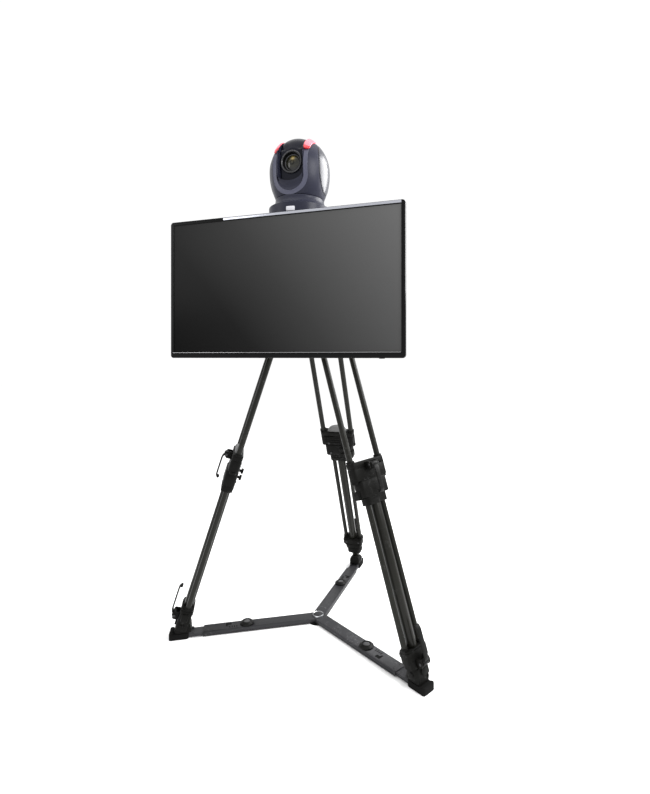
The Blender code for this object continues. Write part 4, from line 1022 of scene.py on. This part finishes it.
# ---- Camera base -------------------------------------------------------------------------------
# Fixed moulded foot of the remote camera: a hollow flare out to a straight skirt, a pale window at
# the front for the remote's receiver, and a plate at the back with socket openings that are dark
# patches of painted shade.
slate = grained("slate_shell", (0.018, 0.019, 0.032), 0.34, specular=0.16, grain=1500.0, depth=0.00008,
                patch=9.0, variation=0.08)
slate_light = grained("slate_trim", (0.066, 0.068, 0.1), 0.36, specular=0.25, grain=1500.0, depth=0.00008,
                      patch=9.0, variation=0.08)
head_gloss = grained("head_gloss", (0.0062, 0.0068, 0.012), 0.24, specular=0.13, grain=2600.0,
                     depth=0.00003, patch=9.0, variation=0.08)
window_white = grained("receiver_window", (0.62, 0.62, 0.66), 0.25, specular=0.5, grain=2000.0,
                       depth=0.00003, variation=0.04)
tilt_point = Vector(joints["camera_tilt"]["pos_m"])
base_low, base_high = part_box("camera_base")
base_radius = base_high[0]
FLARE_WIDE, FLARE_TALL = 0.02, 0.026
flare = [(base_radius + FLARE_WIDE * math.cos(math.radians(a)),
          base_high[2] - 0.002 + FLARE_TALL * math.sin(math.radians(a))) for a in range(180, 264, 7)]
flare += [(base_radius - 0.0008, base_high[2] - 0.0282), (base_radius, base_high[2] - 0.0292)]
base_profile = [(0.0155, base_high[2]), (0.0735, base_high[2]), (0.0748, base_high[2] - 0.0008)] + flare
base_profile += [(base_radius, base_low[2] + 0.0015), (base_radius - 0.0015, base_low[2]),
                 (0.0155, base_low[2]), (0.0155, base_high[2])]
skirt = lathe(base_profile, (0, tilt_point.y, 0), steps=128)
piece("base_skirt", [skirt], slate, "stand", ("camera_base",))


def around_pan(angle, radius, z):
    """A point at an angle from straight ahead, at a radius from the pan axis."""
    return Vector((radius * math.sin(angle), tilt_point.y - radius * math.cos(angle), z))


def sliced(shape, axis, start, end, count):
    """Cut a flat shape across one axis, so that it can bend."""
    direction = [0, 0, 0]
    direction[axis] = 1
    for step in range(1, count):
        place = [0, 0, 0]
        place[axis] = start + (end - start) * step / count
        bmesh.ops.bisect_plane(shape, geom=shape.verts[:] + shape.edges[:] + shape.faces[:], plane_co=place,
                               plane_no=direction)
    return shape


def curved_plate(width, z_low, z_high, radius, height, corner, centre_angle=0.0):
    """A thin plate that follows the round skirt."""
    shape = box((-width / 2, -height, z_low), (width / 2, 0.0008, z_high), corner=corner,
                shade_edge=height * 0.3, axis="Y")
    sliced(shape, 0, -width / 2, width / 2, 8)
    for vertex in shape.verts:
        vertex.co = around_pan(centre_angle + vertex.co.x / radius, radius - vertex.co.y, vertex.co.z)
    return shape


piece("receiver_window",
      [curved_plate(0.026, base_high[2] - 0.056, base_high[2] - 0.043, base_radius, 0.0008, 0.002, 0.12)],
      window_white, "stand")
# Socket openings: dark patches of painted shade bent onto the uncut skirt.
socket_shade = [curved_plate(width, base_low[2] + 0.018, base_low[2] + 0.03, base_radius, 0.0004, 0.002,
                        math.pi + math.radians(angle)) for width,
           angle in ((0.016, -22), (0.014, -8), (0.014, 5), (0.02, 20))]
piece("camera_socket_shade", socket_shade, seam_black_and_hole_shade, "stand")
piece("socket_plate",
      [curved_plate(0.096, base_low[2] + 0.011, base_low[2] + 0.036, base_radius, 0.0002, 0.004,
                    math.pi)], head_gloss, "stand")

# ---- Camera yoke -------------------------------------------------------------------------------
# Egg-shaped shell that pans on the base, slotted front and back for the head.  A lighter U-shaped
# trim lines the front slot and hollows out below the lens, the hollow in the darker shell slate as
# painted shade; oval side covers hide the tilt drive, a tally light lies over each shoulder with a
# darker red front edge as painted shade, and dark strips of painted shade stand for vents low in the
# back.
WAIST, RISE, DROP, GIRTH = -0.015, 0.106, 0.144, 0.0925
SLOT_HALF = 0.0385
SHAFT_BORE = 0.0083
HEAD_SWEEP = 0.0895
TRIM_HALF, TRIM_BOTTOM, TRIM_TOP, TRIM_WALL = 0.056, -0.102, 0.034, 0.0012
RIM_HALF, RIM_BOTTOM = 0.043, -0.089
LIP_HALF, LIP_CENTRE, LIP_BOTTOM, LIP_Y = 0.0422, -0.035, -0.06, -0.0765
at_tilt = Matrix.Translation(tilt_point)


def girth(z):
    """Radius of the egg at a height above the tilt axis."""
    half = RISE if z > WAIST else DROP
    return GIRTH * math.sqrt(max(0.0, 1 - ((z - WAIST) / half) ** 2))


def egg_front(x, z):
    """Front (-Y) surface of the egg at a width and height."""
    return -math.sqrt(max(0.0, girth(z) ** 2 - x * x))


def u_curve(half, centre, drop, top, count=48):
    """Points (x, z) of a U: down one side, round a half ellipse, up the other."""
    sides = [top + (centre - top) * step / 12 for step in range(12)]
    curve = [(-half, z) for z in sides]
    curve += [(-half * math.cos(math.pi * step / count), centre - drop * math.sin(math.pi * step / count))
              for step in range(count + 1)]
    return curve + [(half, z) for z in reversed(sides)]


def prism(outline, y_low, y_high):
    """A closed outline of (x, z) points, extruded along Y."""
    shape = bmesh.new()
    face = shape.faces.new([shape.verts.new((x, y_low, z)) for x, z in outline])
    grown = bmesh.ops.extrude_face_region(shape, geom=[face])
    bmesh.ops.translate(shape, vec=(0, y_high - y_low, 0),
                        verts=[v for v in grown["geom"] if isinstance(v, bmesh.types.BMVert)])
    bmesh.ops.recalc_face_normals(shape, faces=shape.faces)
    return shape


def carve(target, cutters):
    """Cut closed shapes out of a piece for good."""
    for shape in cutters:
        mesh = bpy.data.meshes.new("cutter")
        shape.to_mesh(mesh)
        shape.free()
        tool = bpy.data.objects.new("cutter", mesh)
        scene.collection.objects.link(tool)
        step = target.modifiers.new("carve", "BOOLEAN")
        step.operation = "DIFFERENCE"
        step.object = tool
        bpy.context.view_layer.update()
        carved = bpy.data.meshes.new_from_object(target.evaluated_get(bpy.context.evaluated_depsgraph_get()))
        target.modifiers.remove(step)
        target.data = carved
        bpy.data.objects.remove(tool)
    target.data.shade_smooth()
    target.data.set_sharp_from_angle(angle=math.radians(32))


spindle = base_high[2] + 0.0003 - tilt_point.z
egg = [(0, WAIST + RISE)] + [(girth(z), z) for z in
                             (WAIST + RISE * math.cos(math.radians(a)) for a in range(4, 90, 4))]
egg += [(girth(z), z) for z in (WAIST + (spindle + 0.001 - WAIST) * step / 20 for step in range(21))]
egg += [(girth(spindle) - 0.0012, spindle), (0.015, spindle), (0.015, spindle - 0.03), (0, spindle - 0.03)]
shell = piece("yoke_shell", [lathe(egg, steps=160)], slate, "camera_yoke",
              ("camera_yoke",), at_tilt)
cutters = [prism(u_curve(TRIM_HALF - 0.0006, TRIM_BOTTOM + TRIM_HALF, TRIM_HALF - 0.0006, TRIM_TOP),
                 -0.14, -0.064), prism(u_curve(SLOT_HALF, -0.045, 0.0355, 0.2), -0.12, 0.0),
           bar(HEAD_SWEEP, (-SLOT_HALF, 0, 0), (SLOT_HALF, 0, 0), sides=96),
           prism(u_curve(SLOT_HALF, -0.034, 0.026, 0.2), 0.0, 0.12),
           box((-SLOT_HALF, -0.09, 0.012), (SLOT_HALF, 0.165, 0.212)),
           bar(SHAFT_BORE, (-0.0495, 0, 0), (0.0495, 0, 0), sides=24)]
for cutter in cutters:
    cutter.transform(at_tilt)
carve(shell, cutters)

outer = u_curve(TRIM_HALF, TRIM_BOTTOM + TRIM_HALF, TRIM_HALF, TRIM_TOP)
middle = u_curve(RIM_HALF, RIM_BOTTOM + RIM_HALF, RIM_HALF, TRIM_TOP)
inner = u_curve(LIP_HALF, LIP_CENTRE, LIP_CENTRE - LIP_BOTTOM, TRIM_TOP)


def ramp(start, end, start_y, end_y, hollow, steps=8, wall=()):
    """A sheet from one U to another, dished by hollow, with walls running back from its inner edge."""
    sheet = bmesh.new()
    rows = []
    for step in range(steps + 1 + len(wall)):
        share = min(1.0, step / steps)
        row = []
        for (x0, z0), (x1, z1) in zip(start, end):
            x, z = x0 + (x1 - x0) * share, z0 + (z1 - z0) * share
            y = start_y(x0, z0) * (1 - share) + end_y(x1, z1) * share + hollow * math.sin(math.pi * share)
            if step > steps:
                y = wall[step - steps - 1]
                if abs(x) < SLOT_HALF - 0.0005:
                    z = min(z, -math.sqrt(max(0.0, (HEAD_SWEEP + 0.0008) ** 2 - y * y)))
            row.append(sheet.verts.new((x, y, z)))
        rows.append([sheet.edges.new((a, b)) for a, b in zip(row, row[1:])])
    bridge_rows(sheet, rows)
    bmesh.ops.recalc_face_normals(sheet, faces=sheet.faces)
    if sum(face.normal.y * face.calc_area() for face in sheet.faces) > 0:
        bmesh.ops.reverse_faces(sheet, faces=sheet.faces)
    return sheet


rim = ramp(outer, middle, lambda x, z: egg_front(x, z) - 0.0004, lambda x, z: egg_front(x, z) + 0.005,
           0.0006)
scoop = ramp(middle, inner, lambda x, z: egg_front(x, z) + 0.005, lambda x, z: LIP_Y, 0.004,
             wall=(-0.068, -0.062, -0.03))
# The scoop below the lens takes the darker shell slate as painted shade; the rim keeps the lighter trim
# colour.
for label, sheet, finish in (("slot_trim", rim, slate_light), ("slot_scoop_painted_shade", scoop, slate)):
    sheet_piece = piece(label, [sheet], finish, "camera_yoke", place=at_tilt, sharp=60.0)
    thicken(sheet_piece, TRIM_WALL)


def laid_on_side(shape, side):
    """Lay a flat shape (height, y, z) on one side of the egg, heights measured outwards."""
    for vertex in shape.verts:
        height, y, z = vertex.co
        radius = girth(z)
        foot = Vector((side * math.sqrt(max(1e-9, radius * radius - y * y)), y, z))
        vertical = (z - WAIST) * (GIRTH / (RISE if z > WAIST else DROP)) ** 2
        normal = Vector((foot.x, foot.y, vertical)).normalized()
        vertex.co = foot + normal * height
    if side < 0:
        bmesh.ops.reverse_faces(shape, faces=shape.faces)
    return shape


def laid_on_top(shape):
    """Lay a flat shape (x, y, height) on the top of the egg."""
    for vertex in shape.verts:
        x, y, height = vertex.co
        z = WAIST + RISE * math.sqrt(max(1e-9, 1 - (x * x + y * y) / GIRTH ** 2))
        normal = Vector((x, y, (z - WAIST) * (GIRTH / RISE) ** 2)).normalized()
        vertex.co = Vector((x, y, z)) + normal * height
    return shape


cover_gloss = grained("cover_gloss", (0.02, 0.021, 0.031), 0.3, specular=0.6, grain=2600.0, depth=0.00002,
                      patch=9.0, variation=0.08)
COVER_Y, COVER_Z, COVER_WIDE, COVER_TALL = 0.006, -0.012, 0.049, 0.074


def oval(side, width, tall, low_height, high_height, shade_edge):
    """An oval disc between two heights, bent over one side of the egg."""
    shape = bar(1.0, (low_height, 0, 0), (high_height, 0, 0), sides=96)
    for vertex in shape.verts:
        vertex.co.y = COVER_Y + vertex.co.y * width
        vertex.co.z = COVER_Z + vertex.co.z * tall
    break_edges(shape, shade_edge, angle=60.0)
    sliced(shape, 1, COVER_Y - width, COVER_Y + width, 24)
    return laid_on_side(sliced(shape, 2, COVER_Z - tall, COVER_Z + tall, 28), side)


for side, label in ((-1, "left"), (1, "right")):
    seam = oval(side, COVER_WIDE + 0.001, COVER_TALL + 0.001, -0.002, 0.00015, 0.00005)
    piece(f"{label}_cover_seam", [seam], seam_black_and_hole_shade, "camera_yoke", place=at_tilt,
          sharp=50.0)
    cover = oval(side, COVER_WIDE, COVER_TALL, -0.002, 0.0011, 0.0007)
    piece(f"{label}_side_cover", [cover], cover_gloss, "camera_yoke", place=at_tilt,
          sharp=50.0)

tally_red = grained("tally_lens", (0.93, 0.13, 0.17), 0.22, specular=0.5, grain=2000.0, depth=0.00003,
                    patch=30.0, variation=0.06)
# A darker red copy of the tally lens colour for its front edge: painted shade.
tally_shade_red = grained("tally_edge_painted_shade", (0.45, 0.012, 0.02), 0.25, specular=0.5, grain=2000.0, depth=0.00003,
                     patch=30.0, variation=0.1)
for node in tally_red.node_tree.nodes:
    if node.type == "BSDF_PRINCIPLED":
        node.inputs["Emission Color"].default_value = (1.0, 0.16, 0.2, 1.0)
        node.inputs["Emission Strength"].default_value = 0.28
TALLY_IN, TALLY_OUT, TALLY_LENGTH, TALLY_BACK = 0.041, 0.0575, 0.056, -0.012
TALLY_REACH = GIRTH * math.sqrt(1 - ((0.031 - WAIST) / RISE) ** 2)


def tally_shape(side, start, end, low_height, high_height, grow, shade_edge):
    """A rounded bar over the shoulder of one arm, its front edge level, between two shares of its length."""
    x_in, x_out = sorted((side * (TALLY_IN - grow), side * (TALLY_OUT + grow)))
    shape = box((x_in, start * TALLY_LENGTH, low_height), (x_out, end * TALLY_LENGTH, high_height),
                corner=0.005, shade_edge=shade_edge)
    sliced(shape, 0, x_in, x_out, 8)
    sliced(shape, 1, start * TALLY_LENGTH, end * TALLY_LENGTH, 18)
    for vertex in shape.verts:
        share = vertex.co.y / TALLY_LENGTH
        front = -math.sqrt(TALLY_REACH ** 2 - vertex.co.x ** 2)
        vertex.co.y = front * (1 - share) + TALLY_BACK * share
    return laid_on_top(shape)


for side, label in ((-1, "left"), (1, "right")):
    piece(f"tally_{label}_lens", [tally_shape(side, 0.08, 1.0, -0.002, 0.0044, 0.0, 0.0016)], tally_red,
          "camera_yoke", (f"tally_light_{label}",), at_tilt, sharp=50.0)
    piece(f"tally_{label}_edge", [tally_shape(side, 0.0, 0.2, -0.002, 0.0032, 0.0003, 0.001)], tally_shade_red,
          "camera_yoke", place=at_tilt, sharp=50.0)

# Vents: dark strips of painted shade laid on the back of the shell, which is not cut.
vent_shade_strips = []
for row in range(6):
    slot = box((-0.0012, -0.024, -0.0006), (0.0005, 0.024, 0.0006))
    z = -0.072 - 0.005 * row
    for vertex in slot.verts:
        vertex.co.z += z
    sliced(slot, 1, -0.024, 0.024, 10)
    laid_on_side(slot, 1)
    slot.transform(Matrix.Rotation(math.radians(90), 4, "Z"))
    vent_shade_strips.append(slot)
piece("yoke_vent_shade", vent_shade_strips, seam_black_and_hole_shade, "camera_yoke", place=at_tilt, sharp=50.0)

# ---- Camera head and lens ----------------------------------------------------------------------
# Gloss-black round head that tilts between the arms, with a brow over the lens; a satin ring, a
# stepped black barrel, and a coated front glass with a retainer and a small dark ring at its middle.
# The glass's colour is a painted reflection: a golden spot above its middle that fades to dark.
HEAD_RADIUS, HEAD_HALF, HEAD_FACE, BROW = 0.088, 0.037, -0.06, 0.037
HEAD_CROWN = 0.009
LENS_BORE = 0.0293
HEAD_SLICES = 18


def head_outline(x):
    """Section of the head across its width: round, flat at the front below the brow."""
    radius = HEAD_RADIUS - HEAD_CROWN * (x / HEAD_HALF) ** 2
    section = []
    for step in range(120):
        around = 2 * math.pi * step / 120
        y, z = -radius * math.cos(around), radius * math.sin(around)
        if y < 0 and z > BROW:
            share = max(0.0, (radius - z) / (radius - BROW))
            y *= 1 - 0.2 * share * share * (3 - 2 * share)
        if z <= BROW:
            y = max(y, HEAD_FACE - 0.003 * max(0.0, z / BROW))
        section.append((y, z))
    return section


head = bmesh.new()
loops = []
for step in range(HEAD_SLICES + 1):
    x = -HEAD_HALF + 2 * HEAD_HALF * step / HEAD_SLICES
    ring = [head.verts.new((x, y, z)) for y, z in head_outline(x)]
    loops.append([head.edges.new((a, b)) for a, b in zip(ring, ring[1:] + ring[:1])])
    if step in (0, HEAD_SLICES):
        head.faces.new(ring)
bridge_rows(head, loops)
bmesh.ops.remove_doubles(head, verts=head.verts, dist=1e-5)
bmesh.ops.recalc_face_normals(head, faces=head.faces)
rims = [shade_edge for shade_edge in head.edges if all(abs(abs(v.co.x) - HEAD_HALF) < 1e-6 for v in shade_edge.verts)]
bmesh.ops.bevel(head, geom=rims, offset=0.0038, segments=5, profile=0.5, affect="EDGES", material=-1,
                clamp_overlap=True)
head_piece = piece("head_shell", [head], head_gloss, "camera_head", ("camera_head",), at_tilt)
bores = [bar(LENS_BORE, (0, -0.1, 0), (0, -0.0195, 0), sides=64),
         bar(SHAFT_BORE, (-0.05, 0, 0), (0.05, 0, 0), sides=24)]
for cutter in bores:
    cutter.transform(at_tilt)
carve(head_piece, bores)

ring_satin = grained("lens_ring_satin", (0.045, 0.045, 0.048), 0.3, metallic=0.6, specular=0.5,
                     grain=2600.0, depth=0.00003, variation=0.1)
barrel_black = grained("barrel_black", (0.003, 0.003, 0.003), 0.45, specular=0.1, grain=2600.0,
                       depth=0.00005, variation=0.1)
RING_FRONT, RING_REAR = 0.0662, 0.0604
lens_frame = at_tilt @ Matrix.Rotation(math.pi / 2, 4, "X")


def lens_part(name, profile, finish, stands_for=(), steps=128, sharp=35.0):
    """Turn a profile of (radius, distance ahead of the tilt axis) about the lens axis."""
    piece(name, [lathe(profile, steps=steps)], finish, "camera_head", stands_for, lens_frame, sharp)


lens_part("lens_ring", [(0.03, RING_FRONT - 0.0006), (0.0308, RING_FRONT), (0.033, RING_FRONT - 0.0001),
                        (0.0342, RING_FRONT - 0.0012), (0.0345, RING_FRONT - 0.003), (0.0345, RING_REAR),
                        (0.029, RING_REAR), (0.029, RING_FRONT - 0.0022), (0.03, RING_FRONT - 0.0006)],
          ring_satin, stands_for=("lens_barrel",))
lens_part("lens_tube", [(0.029, 0.064), (0.0282, 0.064), (0.0282, 0.062), (0.0272, 0.062), (0.0272, 0.06),
                        (0.0262, 0.06), (0.0262, 0.058), (0.025, 0.058), (0.025, 0.0215), (0.029, 0.0215),
                        (0.029, 0.064)], barrel_black)

# The glass's base colour is a painted reflection: golden just above the lens axis, dark further out.
glass_painted_reflection, tree, shader = plain_material("coated_glass_painted_reflection", (0.01, 0.01, 0.01), 0.05, specular=0.3)
shader.inputs["Coat Weight"].default_value = 0.25
shader.inputs["Coat Roughness"].default_value = 0.02
where = tree.nodes.new("ShaderNodeTexCoord")
reflection_centre = tree.nodes.new("ShaderNodeMapping")
reflection_centre.inputs["Location"].default_value = (-tilt_point.x - 0.002, 0.0, -tilt_point.z - 0.012)
reflection_centre.inputs["Scale"].default_value = (1.0, 0.0, 1.0)
reach = tree.nodes.new("ShaderNodeVectorMath")
reach.operation = "LENGTH"
reflection_spread = tree.nodes.new("ShaderNodeMapRange")
reflection_spread.inputs["From Max"].default_value = 0.03
painted_reflection_tones = tone_ramp(tree, [(0.0, (0.34, 0.25, 0.07)), (0.13, (0.2, 0.15, 0.045)),
                         (0.28, (0.03, 0.026, 0.01)), (0.55, (0.01, 0.01, 0.006)),
                         (0.8, (0.02, 0.02, 0.013)), (1.0, (0.01, 0.01, 0.009))])
link_all(tree,
         (where.outputs["Object"], reflection_centre.inputs["Vector"]),
         (reflection_centre.outputs["Vector"], reach.inputs[0]),
         (reach.outputs["Value"], reflection_spread.inputs["Value"]),
         (reflection_spread.outputs["Result"], painted_reflection_tones.inputs["Fac"]),
         (painted_reflection_tones.outputs["Color"], shader.inputs["Base Color"]))
dome = [(0.0245 * step / 10, 0.0598 - 0.0072 * (step / 10) ** 2) for step in range(1, 11)]
lens_part("front_glass", [(0, 0.0598)] + dome + [(0.0245, 0.0465), (0, 0.0465)], glass_painted_reflection,
          ("lens_glass",), sharp=60.0)
lens_part("glass_retainer", [(0.0225, 0.0552), (0.0235, 0.056), (0.0249, 0.056), (0.0249, 0.0535),
                             (0.0225, 0.0535), (0.0225, 0.0552)], ring_satin)
lens_part("iris_ring", [(0.0055, 0.06), (0.0062, 0.0603), (0.007, 0.06), (0.007, 0.059),
                        (0.0055, 0.059), (0.0055, 0.06)], barrel_black, steps=64)
